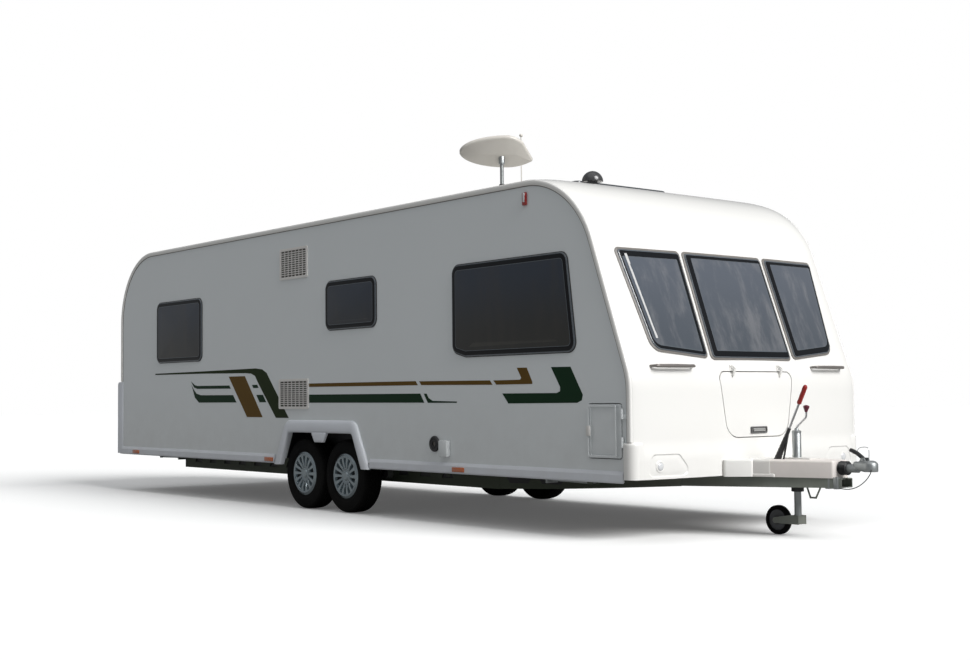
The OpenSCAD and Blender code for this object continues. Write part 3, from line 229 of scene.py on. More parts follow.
patches, inside, outside = new_group(
    "soft_patches",
    [("Color", "NodeSocketColor", (0.8, 0.8, 0.8, 1)), ("Shade", "NodeSocketColor", (0.7, 0.7, 0.7, 1)),
     ("Amount", "NodeSocketFloat", 0.3), ("Scale", "NodeSocketFloat", 2.0),
     ("Roughness", "NodeSocketFloat", 0.3), ("Spread", "NodeSocketFloat", 0.1)],
    [("Color", "NodeSocketColor"), ("Roughness", "NodeSocketFloat")])
place = patches.nodes.new("ShaderNodeTexCoord")
cloud = node(patches, "ShaderNodeTexNoise", Detail=4.0, Roughness=0.55)
link(patches, place.outputs["Object"], cloud.inputs["Vector"])
link(patches, inside.outputs["Scale"], cloud.inputs["Scale"])
share = math_node(patches, "MULTIPLY", cloud.outputs["Fac"], inside.outputs["Amount"])
link(patches, mix_colour(patches, share, inside.outputs["Color"], inside.outputs["Shade"]),
     outside.inputs["Color"])
swing = math_node(patches, "SUBTRACT", cloud.outputs["Fac"], 0.5)
wave = math_node(patches, "MULTIPLY", swing, inside.outputs["Spread"])
link(patches, math_node(patches, "ADD", wave, inside.outputs["Roughness"]), outside.inputs["Roughness"])

dust, inside, outside = new_group(
    "road_dust",
    [("Color", "NodeSocketColor", (0.8, 0.8, 0.8, 1)), ("Dust", "NodeSocketColor", (0.35, 0.33, 0.29, 1)),
     ("Top", "NodeSocketFloat", 0.8), ("Amount", "NodeSocketFloat", 0.3)],
    [("Color", "NodeSocketColor")])
place = dust.nodes.new("ShaderNodeTexCoord")
height = dust.nodes.new("ShaderNodeSeparateXYZ")
link(dust, place.outputs["Object"], height.inputs[0])
speckle = node(dust, "ShaderNodeTexNoise", Scale=6.0, Detail=6.0, Roughness=0.65)
link(dust, place.outputs["Object"], speckle.inputs["Vector"])
low = node(dust, "ShaderNodeMapRange", From_Max=0.25)
link(dust, height.outputs["Z"], low.inputs["Value"])
link(dust, inside.outputs["Top"], low.inputs["From Min"])
settled = math_node(dust, "MULTIPLY", low.outputs[0], speckle.outputs["Fac"])
amount = math_node(dust, "MULTIPLY", settled, inside.outputs["Amount"])
link(dust, mix_colour(dust, amount, inside.outputs["Color"], inside.outputs["Dust"]), outside.inputs["Color"])

grain, inside, outside = new_group(
    "fine_grain",
    [("Scale", "NodeSocketFloat", 400.0), ("Strength", "NodeSocketFloat", 0.1)],
    [("Height", "NodeSocketFloat")])
place = grain.nodes.new("ShaderNodeTexCoord")
pits = node(grain, "ShaderNodeTexNoise", Detail=3.0, Roughness=0.5)
link(grain, place.outputs["Object"], pits.inputs["Vector"])
link(grain, inside.outputs["Scale"], pits.inputs["Scale"])
link(grain, math_node(grain, "MULTIPLY", pits.outputs["Fac"], inside.outputs["Strength"]),
     outside.inputs["Height"])
print("groups:", [g.name for g in bpy.data.node_groups])

# %% [markdown]
# ## Finishes
# Each finish is a Principled shader whose colour and roughness pass through the groups above. The
# numbers that are the same all over, such as coat or metal, are set on the shader itself.


# %% Finishes
def placed(tree, group, **values):
    """A node group in a material, with some of its inputs set."""
    made = tree.nodes.new("ShaderNodeGroup")
    made.node_tree = group
    for label, value in values.items():
        made.inputs[label].default_value = value
    return made


def finish(name, colour, shade=None, rough=0.3, spread=0.08, patch=0.5, scale=2.0, metal=0.0, coat=0.0,
           dusty=0.0, dust_top=0.9, grain_scale=300.0, grain_height=0.0, specular=0.5):
    """A material from one colour, with soft patches, road dust and a fine grain."""
    material, tree, shader = new_material(name)
    shader.inputs["Metallic"].default_value = metal
    shader.inputs["Coat Weight"].default_value = coat
    shader.inputs["Coat Roughness"].default_value = 0.06
    shader.inputs["Specular IOR Level"].default_value = specular
    darker = shade or [0.82 * c for c in colour]
    tone = placed(tree, patches, Color=(*colour, 1), Shade=(*darker, 1), Amount=patch, Scale=scale,
                  Roughness=rough, Spread=spread)
    paint = tone.outputs["Color"]
    if dusty:
        veil = placed(tree, dust, Top=dust_top, Amount=dusty)
        link(tree, paint, veil.inputs["Color"])
        paint = veil.outputs["Color"]
    link(tree, paint, shader.inputs["Base Color"])
    link(tree, tone.outputs["Roughness"], shader.inputs["Roughness"])
    if grain_height:
        pitted = placed(tree, grain, Scale=grain_scale, Strength=1.0)
        bump = node(tree, "ShaderNodeBump", Strength=grain_height, Distance=0.001)
        link(tree, pitted.outputs["Height"], bump.inputs["Height"])
        link(tree, bump.outputs["Normal"], shader.inputs["Normal"])
    return material


WALL_WHITE = finish("painted_wall", (0.785, 0.82, 0.83), rough=0.22, spread=0.10, patch=0.22, scale=0.9,
                    coat=0.35, dusty=0.35, dust_top=1.1, grain_scale=9, grain_height=0.10)
MOULDING_WHITE = finish("moulded_white", (0.87, 0.86, 0.83), rough=0.20, patch=0.18, scale=1.2, coat=0.4,
                        dusty=0.25, dust_top=0.8, grain_scale=7, grain_height=0.06)
TRIM_WHITE = finish("trim_white", (0.79, 0.82, 0.87), rough=0.30, patch=0.3, scale=4, dusty=0.45,
                    dust_top=0.75)
SEAL_BLACK = finish("rubber_seal", (0.018, 0.018, 0.019), rough=0.55, patch=0.6, scale=20,
                    shade=(0.05, 0.05, 0.05), grain_scale=600, grain_height=0.2)
SEAL_GREY = finish("grey_seal", (0.20, 0.185, 0.17), rough=0.45, patch=0.6, scale=14,
                   shade=(0.10, 0.09, 0.085))
STRIPE_GREEN = finish("stripe_green", (0.003, 0.026, 0.008), rough=0.42, scale=5,
                      shade=(0.006, 0.036, 0.012), specular=0.15)
STRIPE_GOLD = finish("stripe_gold", (0.118, 0.064, 0.010), rough=0.45, scale=6,
                     shade=(0.165, 0.100, 0.026), specular=0.10)
STRIPE_OLIVE = finish("stripe_olive", (0.018, 0.031, 0.009), rough=0.45, scale=5,
                      shade=(0.030, 0.040, 0.014), specular=0.10)
RUBBER = finish("tyre_rubber", (0.0035, 0.0037, 0.004), rough=0.75, patch=0.6, scale=9,
                shade=(0.008, 0.008, 0.008), specular=0.07, dusty=0.03, dust_top=0.7, grain_scale=500,
                grain_height=0.25)
WHEEL_SILVER = finish("wheel_trim_silver", (0.36, 0.42, 0.45), rough=0.22, metal=0.85, patch=0.4, scale=9,
                      dusty=0.12, dust_top=0.7)
# Painted shade for the openings between the trim's spokes.
WHEEL_SLOT_SHADE = finish("wheel_slot_painted_shade", (0.02, 0.02, 0.022), rough=0.7, scale=9)
GALVANISED = finish("galvanised_steel", (0.46, 0.48, 0.48), rough=0.42, metal=0.85, patch=0.8, scale=22,
                    shade=(0.28, 0.30, 0.30), grain_scale=120, grain_height=0.12)
CHASSIS = finish("chassis_steel", (0.29, 0.32, 0.285), rough=0.55, metal=0.35, patch=0.8, scale=7,
                 shade=(0.16, 0.18, 0.155), dusty=0.5, dust_top=0.6, grain_scale=160, grain_height=0.15)
BRIGHT_STEEL = finish("bright_steel", (0.62, 0.63, 0.64), rough=0.22, metal=1.0, patch=0.4, scale=16)
BLACK_PLASTIC = finish("black_plastic", (0.02, 0.02, 0.021), rough=0.48, patch=0.6, scale=12,
                       shade=(0.045, 0.045, 0.047), grain_scale=700, grain_height=0.2)
GREY_PLASTIC = finish("grey_plastic", (0.88, 0.82, 0.78), rough=0.42, patch=0.4, scale=6, dusty=0.3,
                      grain_scale=500, grain_height=0.12)
PALE_PLASTIC = finish("pale_plastic", (0.74, 0.72, 0.69), rough=0.40, patch=0.35, scale=6, dusty=0.3)
VENT_PLASTIC = finish("vent_plastic", (0.80, 0.78, 0.75), rough=0.45, patch=0.4, scale=14)
GRIP_RED = finish("grip_red", (0.36, 0.018, 0.013), rough=0.38, patch=0.6, scale=25,
                  shade=(0.22, 0.012, 0.01))
KNOB_RED = finish("knob_red", (0.13, 0.012, 0.030), scale=30, coat=0.4)
LAMP_RED = finish("lamp_red", (0.34, 0.010, 0.008), rough=0.12, scale=18, coat=0.8)
LAMP_ORANGE = finish("lamp_orange", (0.52, 0.13, 0.035), rough=0.14, patch=0.4, scale=25, coat=0.8)
LAMP_CLEAR = finish("lamp_clear", (0.70, 0.71, 0.72), rough=0.10, patch=0.4, scale=25, coat=0.9)
AERIAL_WHITE = finish("aerial_shell", (0.66, 0.63, 0.58), rough=0.36, patch=0.4, scale=7, grain_scale=300,
                      grain_height=0.06)
SMOKED = finish("smoked_acrylic", (0.055, 0.058, 0.065), rough=0.10, scale=5, coat=0.8)
PLYWOOD = finish("sealed_plywood", (0.22, 0.17, 0.115), rough=0.6, patch=0.8, scale=3,
                 shade=(0.12, 0.09, 0.06))
print("finishes:", len(bpy.data.materials))

# %% [markdown]
# ## Tinted acrylic with painted reflection
# The windows are dark acrylic and opaque here. Their colour is partly what is behind them and partly painted
# reflection: cooler towards the top, as the sky's reflection, warmer and darker below, as the ground's, with
# faint upright folds where the curtains hang and painted streaks of reflection.


# %% Tinted acrylic with painted reflection
def tinted(name, top, bottom, z_low, z_high, fold, fold_and_streak_colour):
    """Dark acrylic that goes from one tint to another, with faint folds along the upright: partly what is
    behind it, partly painted reflection.
    """
    material, tree, shader = new_material(name)
    shader.inputs["Roughness"].default_value = 0.045
    shader.inputs["Coat Weight"].default_value = 0.6
    shader.inputs["Coat Roughness"].default_value = 0.02
    spot = tree.nodes.new("ShaderNodeTexCoord")
    part = tree.nodes.new("ShaderNodeSeparateXYZ")
    link(tree, spot.outputs["Object"], part.inputs[0])
    # Painted reflection: the bottom tint below z_low stands for the ground reflected in the pane, the top
    # tint above z_high for the sky.
    painted_reflection_rise = node(tree, "ShaderNodeMapRange", From_Min=z_low, From_Max=z_high)
    painted_reflection_rise.interpolation_type = "SMOOTHSTEP"
    link(tree, part.outputs["Z"], painted_reflection_rise.inputs["Value"])
    tint = mix_colour(tree, painted_reflection_rise.outputs[0], (*bottom, 1), (*top, 1))
    # Upright folds: curtains behind the pane, together with painted reflection streaks in the lighter fold
    # colour.
    stretch = node(tree, "ShaderNodeMapping", Scale=(1.0, 1.0, 0.22))
    link(tree, spot.outputs["Object"], stretch.inputs["Vector"])
    folds = node(tree, "ShaderNodeTexNoise", Scale=5.5, Detail=6.0, Roughness=0.68, Distortion=0.2)
    link(tree, stretch.outputs[0], folds.inputs["Vector"])
    band = node(tree, "ShaderNodeMapRange", From_Min=0.44, From_Max=0.72)
    band.interpolation_type = "SMOOTHSTEP"
    link(tree, folds.outputs["Fac"], band.inputs["Value"])
    share = math_node(tree, "MULTIPLY", band.outputs[0], fold)
    link(tree, mix_colour(tree, share, tint, (*fold_and_streak_colour, 1)), shader.inputs["Base Color"])
    return material


# Side and front acrylic: the tints and folds are partly what is behind the panes and partly painted
# reflection.
SIDE_GLASS_REFLECTING = tinted("side_acrylic_painted_reflection", (0.009, 0.019, 0.038), (0.011, 0.010, 0.005), 1.35, 1.9, 0.35,
                    (0.045, 0.034, 0.024))
FRONT_GLASS_REFLECTING = tinted("front_acrylic_painted_reflection", (0.090, 0.103, 0.126), (0.068, 0.079, 0.095), 1.25, 1.9, 0.55,
                     (0.21, 0.21, 0.22))
BORDER_GLASS = finish("acrylic_border", (0.007, 0.008, 0.010), rough=0.22, patch=0.4, scale=4, coat=0.1,
                      specular=0.2)
EDGE_GLASS = finish("acrylic_edge", (0.10, 0.115, 0.13), rough=0.16, patch=0.4, scale=8, coat=0.6)
print("tinted acrylic for the side and the front")

# %% [markdown]
# ## Helpers for meshes
# Most pieces are lofts: loops of points joined ring by ring. A mapper lays flat outlines on a side wall,
# on the raked front or on the rear, at a height over that surface.


# %% Mesh helpers
def turn_outwards(mesh):
    """Turns every face of a closed mesh outwards."""
    bm = bmesh.new()
    bm.from_mesh(mesh)
    bmesh.ops.recalc_face_normals(bm, faces=bm.faces[:])
    bm.to_mesh(mesh)
    bm.free()


def add_piece(name, points, faces, materials, body, slot, face_materials=None, angle=40, replaces=(),
              closed=False):
    """A piece from points and faces; a closed one is turned outwards."""
    mesh = bpy.data.meshes.new(name)
    mesh.from_pydata([tuple(p) for p in points], [], faces)
    if closed:
        turn_outwards(mesh)
    for material in materials:
        mesh.materials.append(material)
    if face_materials:
        mesh.polygons.foreach_set("material_index", face_materials)
    return add_mesh(name, mesh, body, angle, replaces)


def add_mesh(name, mesh, body, angle=40, replaces=()):
    """A mesh that rides on a body, smooth apart from its sharp edges."""
    mesh.shade_smooth()
    mesh.set_sharp_from_angle(angle=math.radians(angle))
    piece = bpy.data.objects.new(name, mesh)
    bpy.context.scene.collection.objects.link(piece)
    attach(piece, body)
    if replaces:
        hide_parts(*replaces)
    return piece


def round_loop(corners, radius, steps=6):
    """A closed outline through corners, each rounded by its radius."""
    loop = []
    count = len(corners)
    radii = radius if isinstance(radius, (list, tuple)) else [radius] * count
    for i, corner in enumerate(corners):
        here = Vector(corner)
        before = (Vector(corners[i - 1]) - here).normalized()
        after = (Vector(corners[(i + 1) % count]) - here).normalized()
        half = before.angle(after) / 2
        middle = here + (before + after).normalized() * radii[i] / math.sin(half)
        first = (here + before * radii[i] / math.tan(half)) - middle
        last = (here + after * radii[i] / math.tan(half)) - middle
        sweep = math.atan2(first.x * last.y - first.y * last.x, first.dot(last))
        for k in range(steps + 1):
            turn = Matrix.Rotation(sweep * k / steps, 2)
            loop.append(middle + turn @ first)
    return loop


def ring_faces(rings, count, closed=True):
    """Quads between rings of equal count."""
    faces = []
    for r in range(rings - 1):
        for k in range(count if closed else count - 1):
            a = r * count + k
            b = r * count + (k + 1) % count
            faces.append((a, b, b + count, a + count))
    return faces


def on_side(side):
    """Lays an outline of [x, z] on a side wall, at a height over it."""
    return lambda u, v, d: Vector((u, side * (HALF_W + d), v))


def turned(faces):
    return [tuple(reversed(f)) for f in faces]


def tube_mesh(route, radius, sides=12):
    """Points and faces of a round bar along a route; radius may be one number or one per point."""
    route = [Vector(p) for p in route]
    radii = radius if isinstance(radius, (list, tuple)) else [radius] * len(route)
    points = []
    side = None
    for i, p in enumerate(route):
        run = (route[min(i + 1, len(route) - 1)] - route[max(i - 1, 0)]).normalized()
        if side is None:
            side = run.orthogonal().normalized()
        side = (side - run * side.dot(run)).normalized()
        other = run.cross(side)
        for k in range(sides):
            turn = 2 * math.pi * k / sides
            points.append(p + (side * math.cos(turn) + other * math.sin(turn)) * radii[i])
    ends = [tuple(reversed(range(sides))), tuple(range(len(points) - sides, len(points)))]
    return points, ring_faces(len(route), sides) + ends


def lathe(profile, segments, centre, axis):
    """A turned shape: a closed profile of [radius, along] about an axis through a centre."""
    axis = Vector(axis).normalized()
    side = axis.orthogonal().normalized()
    other = axis.cross(side)
    points = []
    for k in range(segments):
        turn = 2 * math.pi * k / segments
        out = side * math.cos(turn) + other * math.sin(turn)
        points += [Vector(centre) + out * r + axis * a for r, a in profile]
    count = len(profile)
    faces = []
    for k in range(segments):
        for j in range(count):
            a = k * count + j
            b = k * count + (j + 1) % count
            c = ((k + 1) % segments) * count + (j + 1) % count
            d = ((k + 1) % segments) * count + j
            faces.append((a, d, c, b))
    return points, faces


def join(*parts):
    """Several lists of points and faces as one."""
    points, faces = [], []
    for more_points, more_faces in parts:
        start = len(points)
        points += more_points
        faces += [tuple(start + i for i in f) for f in more_faces]
    return points, faces


print("helpers ready")

# %% [markdown]
# ## The rule of the skins
# The front, roof and rear are mouldings that bulge towards the middle of the width and step over the
# side walls' edges. The same stand-off rule as in the construction gives fine, smooth meshes here.

# %% The outline and the stand-off
RAKE = math.radians(20)
CHIN_R = 0.500
CHIN_Z = 0.981
ROOF_R = 0.700
SKIN_LOW_Z = 0.410
SKIN_T = 0.030
SKIN_EDGE = 0.020
FRONT_BOW = 0.065
ROOF_BOW = 0.012
REAR_BOW = 0.036
UPRIGHT = math.pi / 2
chin = Vector((FRONT_X - CHIN_R, CHIN_Z))
brow_z = EAVES_Z - ROOF_R
rake_reach = math.cos(RAKE) * chin.x + math.sin(RAKE) * chin.y + CHIN_R
brow = Vector(((rake_reach - ROOF_R - math.sin(RAKE) * brow_z) / math.cos(RAKE), brow_z))
tail = Vector((REAR_X + ROOF_R, brow_z))


def bulge(a):
    """How far a skin bows out in the middle; a is the angle at which the outline faces."""
    if a <= RAKE:
        return FRONT_BOW
    if a <= UPRIGHT:
        return FRONT_BOW + (ROOF_BOW - FRONT_BOW) * (a - RAKE) / (UPRIGHT - RAKE)
    return ROOF_BOW + (REAR_BOW - ROOF_BOW) * (a - UPRIGHT) / UPRIGHT


def fullness(a):
    """How square the shoulders are: soft on the front and the rear, nearly flat over the roof."""
    return 0.4 + 0.55 * max(0.0, 1 - abs(a - UPRIGHT) / (UPRIGHT - RAKE))


def stand(a, f):
    """How far a skin stands off the side's outline; f is the share of the half width."""
    full = fullness(a)
    return SKIN_EDGE + bulge(a) * (full * (1 - abs(f) ** 14) + (1 - full) * (1 - f * f))


def arc(centre, radius, start, end, steps):
    """Stations of (angle, x, z) round a bend."""
    turns = [start + (end - start) * i / steps for i in range(steps + 1)]
    return [(a, centre.x + radius * math.cos(a), centre.y + radius * math.sin(a)) for a in turns]


def straight(first, last, steps):
    """Stations along a straight run, without its last."""
    return [(first[0], first[1] + (last[1] - first[1]) * i / steps,
             first[2] + (last[2] - first[2]) * i / steps) for i in range(steps)]


chin_arc = arc(chin, CHIN_R, 0, RAKE, 10)
brow_arc = arc(brow, ROOF_R, RAKE, UPRIGHT, 36)
tail_arc = arc(tail, ROOF_R, UPRIGHT, math.pi, 40)
front_line = straight((0, FRONT_X, SKIN_LOW_Z), chin_arc[0], 24) + chin_arc[:-1]
front_line += straight(chin_arc[-1], brow_arc[0], 36) + brow_arc
roof_line = straight(brow_arc[-1], tail_arc[0], 60) + [tail_arc[0]]
rear_foot = (math.pi, REAR_X, SKIN_LOW_Z)
rear_line = tail_arc[:-1] + straight(tail_arc[-1], rear_foot, 40) + [rear_foot]
COLUMNS = 72
ROUND_EDGE = 0.016
EDGE_CLEAR = 1 - 0.018 / HALF_W
even = [2 * i / COLUMNS - 1 for i in range(COLUMNS + 1)]
spread = [math.sin(UPRIGHT * e) * 0.5 + e * 0.5 for e in even]
near_edge = [1 - d / HALF_W for d in (0.0015, 0.004, 0.007, 0.010, 0.013, 0.0165)]
inner_columns = [c for c in spread if abs(c) == 1 or abs(c) < EDGE_CLEAR]
columns = sorted(inner_columns + near_edge + [-f for f in near_edge])


def edge_drop(f):
    """How much the skin's outer edge is rounded off beside the side wall."""
    reach = HALF_W * (abs(f) - 1) + ROUND_EDGE
    return 0 if reach <= 0 else ROUND_EDGE - math.sqrt(max(0, ROUND_EDGE ** 2 - reach ** 2))


def under(a, f, z=0):
    """The skins' inner face, which sits on the side walls' edges."""
    return 0 if abs(f) * HALF_W >= HALF_W - WALL_T else max(0, stand(a, f) - SKIN_T)


def over(a, f, z=0):
    """The skins' outer face."""
    return stand(a, f) - edge_drop(f)


def shell(line, low, high, shares):
    """A closed solid along a line of stations, between two stand-off rules."""
    points = []
    for rule in (low, high):
        for a, x, z in line:
            for f in shares:
                d = rule(a, f, z)
                points.append(Vector((x + d * math.cos(a), f * HALF_W, z + d * math.sin(a))))
    n = len(line)
    m = len(shares)
    k = n * m
    faces = []
    for i in range(n - 1):
        for j in range(m - 1):
            a = i * m + j
            faces.append((a, a + m, a + m + 1, a + 1))
            faces.append((k + a, k + a + 1, k + a + m + 1, k + a + m))
        for j, flip in ((0, True), (m - 1, False)):
            a = i * m + j
            quad = (a, k + a, k + a + m, a + m)
            faces.append(quad if flip else tuple(reversed(quad)))
    for j in range(m - 1):
        faces.append((j, j + 1, k + j + 1, k + j))
        a = (n - 1) * m + j
        faces.append((a, k + a, k + a + 1, a + 1))
    return points, faces


print("outline stations:", len(front_line), len(roof_line), len(rear_line))

# %% [markdown]
# ## Cutting openings
# The shells' openings for windows, lid and rooflight are cut with prisms, as a router cuts a moulding.
# The cut is worked out once and kept as a plain mesh, so no modifier stays on a piece.


# %% Cutting tools
def temporary(points, faces):
    """A closed solid that is only there for a cut."""
    mesh = bpy.data.meshes.new("temporary")
    mesh.from_pydata([tuple(p) for p in points], [], faces)
    turn_outwards(mesh)
    made = bpy.data.objects.new("temporary", mesh)
    bpy.context.scene.collection.objects.link(made)
    return made


def carved(solid, cutters, operation="DIFFERENCE"):
    """The mesh of a solid after each cutter has been taken from it, or kept of it."""
    base = temporary(*solid)
    tools = [temporary(*cutter) for cutter in cutters]
    for tool in tools:
        cut = base.modifiers.new("cut", "BOOLEAN")
        cut.operation = operation
        cut.object = tool
        cut.solver = "EXACT"
    depsgraph = bpy.context.evaluated_depsgraph_get()
    mesh = bpy.data.meshes.new_from_object(base.evaluated_get(depsgraph))
    for used in [base] + tools:
        bpy.data.objects.remove(used)
    return mesh


def painted(mesh, *materials):
    mesh.materials.clear()
    for material in materials:
        mesh.materials.append(material)
    return mesh


def prism(loop, place_low, place_high):
    """A closed prism between two placings of a flat loop."""
    loop = [Vector(p) for p in loop]
    points = [place_low(p) for p in loop] + [place_high(p) for p in loop]
    n = len(loop)
    faces = ring_faces(2, n) + [tuple(range(n)), tuple(range(2 * n - 1, n - 1, -1))]
    return points, faces


def prism_along(loop, x0, x1):
    return prism(loop, lambda p: Vector((x0, p.x, p.y)), lambda p: Vector((x1, p.x, p.y)))


def prism_across(loop, y0, y1):
    return prism(loop, lambda p: Vector((p.x, y0, p.y)), lambda p: Vector((p.x, y1, p.y)))


def prism_up(loop, z0, z1):
    return prism(loop, lambda p: Vector((p.x, p.y, z0)), lambda p: Vector((p.x, p.y, z1)))


def mirror_corners(corners):
    return [Vector((-c[0], c[1])) for c in reversed(corners)]


def pull_in(corners, amounts):
    """Corners of an anticlockwise outline with each edge moved in by its own amount."""
    moved = []
    count = len(corners)
    if isinstance(amounts, (int, float)):
        amounts = [amounts] * count
    for i in range(count):
        a, b, c = (Vector(corners[(i + k) % count]) for k in (-1, 0, 1))
        u = (b - a).normalized()
        v = (c - b).normalized()
        nu = Vector((-u.y, u.x))
        nv = Vector((-v.y, v.x))
        det = nu.x * nv.y - nu.y * nv.x
        one = amounts[i - 1]
        two = amounts[i]
        moved.append(b + Vector(((one * nv.y - two * nu.y) / det, (nu.x * two - nv.x * one) / det)))
    return moved


NOSE_X = FRONT_X - 0.7
LID_BACK = FRONT_X - 0.02
PAST_NOSE = FRONT_X + 0.2
PANE_LAP = 0.025
centre_pane = [(-0.415, 1.205), (0.415, 1.205), (0.407, 1.948), (-0.407, 1.948)]
left_pane = [(0.461, 1.213), (0.945, 1.260), (1.032, 1.948), (0.453, 1.948)]
front_panes = {"right": mirror_corners(left_pane), "centre": centre_pane, "left": left_pane}
lid_corners = [(-0.318, 0.660), (0.318, 0.660), (0.396, 1.118), (-0.396, 1.118)]
LID_GAP = 0.006
LID_R = (0.125, 0.125, 0.055, 0.055)
print("front panes:", list(front_panes))

# %% [markdown]
# ## Front panel
# One large moulding from the valance to the roof. It is upright at the bottom, leans back where the
# three windows sit, and rolls into the roof.

# %% Front panel
lid_hole = prism_along(round_loop(lid_corners, LID_R, 10), LID_BACK, PAST_NOSE)
pane_holes = [prism_along(round_loop(pull_in(c, PANE_LAP), 0.03), NOSE_X, PAST_NOSE)
              for c in front_panes.values()]
front_mesh = carved(shell(front_line, under, over, columns), [lid_hole] + pane_holes)
add_mesh("front_moulding", painted(front_mesh, MOULDING_WHITE), ROOT, 30, ["front_panel"])
print("front moulding:", len(front_mesh.polygons), "faces")

# %% [markdown]
# ## Roof and rear panels
# The roof is one skin with three rooflight openings and the aerial's gland. The rear mirrors the front's
# corner with a larger upright part and one wide window.

# %% Roof and rear
roof_lights = [(1.300, 0.44, 0.44), (3.600, 0.44, 0.44), (5.733, 0.70, 0.98)]


def plan_corners(at, length, width):
    return [(station(at), -width / 2), (station(at + length), -width / 2),
            (station(at + length), width / 2), (station(at), width / 2)]


roof_holes = []
for at, length, width in roof_lights:
    hole = round_loop(pull_in(plan_corners(at, length, width), 0.045), 0.03)
    roof_holes.append(prism_up(hole, EAVES_Z - 0.3, EAVES_Z + 0.2))
roof_mesh = carved(shell(roof_line, under, over, columns), roof_holes)
add_mesh("roof_skin", painted(roof_mesh, MOULDING_WHITE), ROOT, 30, ["roof_panel"])
rear_pane = [(-0.560, 1.290), (0.560, 1.290), (0.560, 1.730), (-0.560, 1.730)]
rear_hole = prism_along(round_loop(pull_in(rear_pane, PANE_LAP), 0.05), REAR_X - 0.2, REAR_X + 0.2)
rear_mesh = carved(shell(rear_line, under, over, columns), [rear_hole])
add_mesh("rear_moulding", painted(rear_mesh, MOULDING_WHITE), ROOT, 30, ["rear_panel"])
print("roof and rear:", len(roof_mesh.polygons), len(rear_mesh.polygons), "faces")

# %% [markdown]
# ## Edge trim
# A rounded trim covers the joint between the side walls and the mouldings, with a dark seal on its inner
# edge. It is one profile swept along the side's outline.

# %% Edge trim
TRIM_LOW = {1: 0.653, -1: 1.154}
trim_profile = [(-0.018, 0.000), (-0.0165, 0.006), (-0.011, 0.0095), (0.000, 0.0110), (0.010, 0.0105),
                (0.017, 0.0080), (0.0215, 0.0035), (0.0230, -0.003), (0.0205, -0.009), (0.0100, -0.013)]
seal_profile = [(-0.0225, 0.000), (-0.0222, 0.003), (-0.0190, 0.0042), (-0.0165, 0.003), (-0.0165, 0.000)]
whole_line = front_line[:-1] + roof_line[:-1] + rear_line


def edge_sweep(profile, side):
    """A profile of [across the edge, out from the wall] swept along the side's outline."""
    kept = [s for s in whole_line if s[2] >= (TRIM_LOW[1] if s[1] > 0 else TRIM_LOW[-1])]
    ends = [(0, FRONT_X, TRIM_LOW[1])] + kept + [(math.pi, REAR_X, TRIM_LOW[-1])]
    points = []
    for a, x, z in ends:
        for n, w in profile:
            points.append(Vector((x + n * math.cos(a), side * (HALF_W + w), z + n * math.sin(a))))
    m = len(profile)
    faces = ring_faces(len(ends), m, closed=True)
    faces += [tuple(range(m - 1, -1, -1)), tuple(range(len(points) - m, len(points)))]
    return points, faces if side > 0 else turned(faces)


for side, word in SIDES:
    points, faces = edge_sweep(trim_profile, side)
    add_piece("edge_trim_" + word, points, faces, [MOULDING_WHITE], ROOT, "body_white", angle=45,
              replaces=["awning_rails"] if side == RIGHT else [])
    points, faces = edge_sweep(seal_profile, side)
    add_piece("edge_seal_" + word, points, faces, [SEAL_GREY], ROOT, "black_plastic", angle=50)
print("edge trim with", len(trim_profile), "points in its profile")

# %% [markdown]
# ## Windows
# A caravan window is a bulged acrylic pane that stands proud of the wall: a rubber seal, a bright cut
# edge, a black border, the thin line where its two sheets are bonded, and the tinted middle.


# %% Window panes
def pane(name, mapper, rings, dome, glass, body, slot, flip=False, replaces=()):
    """A pane lofted through rings of (corners, radius, height, finish of the band inside it)."""
    loops = [[(p.x, p.y, d) for p in round_loop(corners, r, 7)] for corners, r, d, _ in rings]
    count = len(loops[0])
    centre = sum((Vector(p[:2]) for p in loops[-1]), Vector((0, 0))) / count
    finishes = [SEAL_BLACK, SEAL_GREY, EDGE_GLASS, BORDER_GLASS, glass]
    middle = finishes.index(glass)
    bands = [finishes.index(ring[3]) for ring in rings]
    top = rings[-1][2]
    for share in (0.15, 0.32, 0.5, 0.7, 0.88):
        ring = [centre + (Vector(p[:2]) - centre) * (1 - share) for p in loops[len(rings) - 1]]
        loops.append([(p.x, p.y, top + dome * (1 - (1 - share) ** 2)) for p in ring])
        bands.append(middle)
    points = [mapper(*p) for loop in loops for p in loop]
    faces = ring_faces(len(loops), count)
    kinds = [bands[i // count] for i in range(len(faces))]
    points.append(mapper(centre.x, centre.y, top + dome))
    last = (len(loops) - 1) * count
    faces += [(last + k, last + (k + 1) % count, len(points) - 1) for k in range(count)]
    kinds += [middle] * count
    faces = turned(faces) if flip else faces
    return add_piece(name, points, faces, finishes, body, slot, kinds, 35, replaces)


side_section = [(0.0, 0.0, 0.0003, SEAL_BLACK), (0.0, 0.0, 0.004, SEAL_BLACK),
                (0.005, 0.005, 0.0055, EDGE_GLASS), (0.009, 0.009, 0.012, EDGE_GLASS),
                (0.015, 0.015, 0.0135, BORDER_GLASS), (0.046, 0.042, 0.0140, EDGE_GLASS),
                (0.050, 0.045, 0.0140, SIDE_GLASS_REFLECTING)]


def side_rings(corners, r):
    """Seal, cut edge, border and bonded line of a side pane, from outside in."""
    return [(pull_in(corners, inset), r - cut, d, band) for inset, cut, d, band in side_section]


def upright_corners(at, length, low, high=1.950):
    return [(station(at), low), (station(at + length), low), (station(at + length), high),
            (station(at), high)]


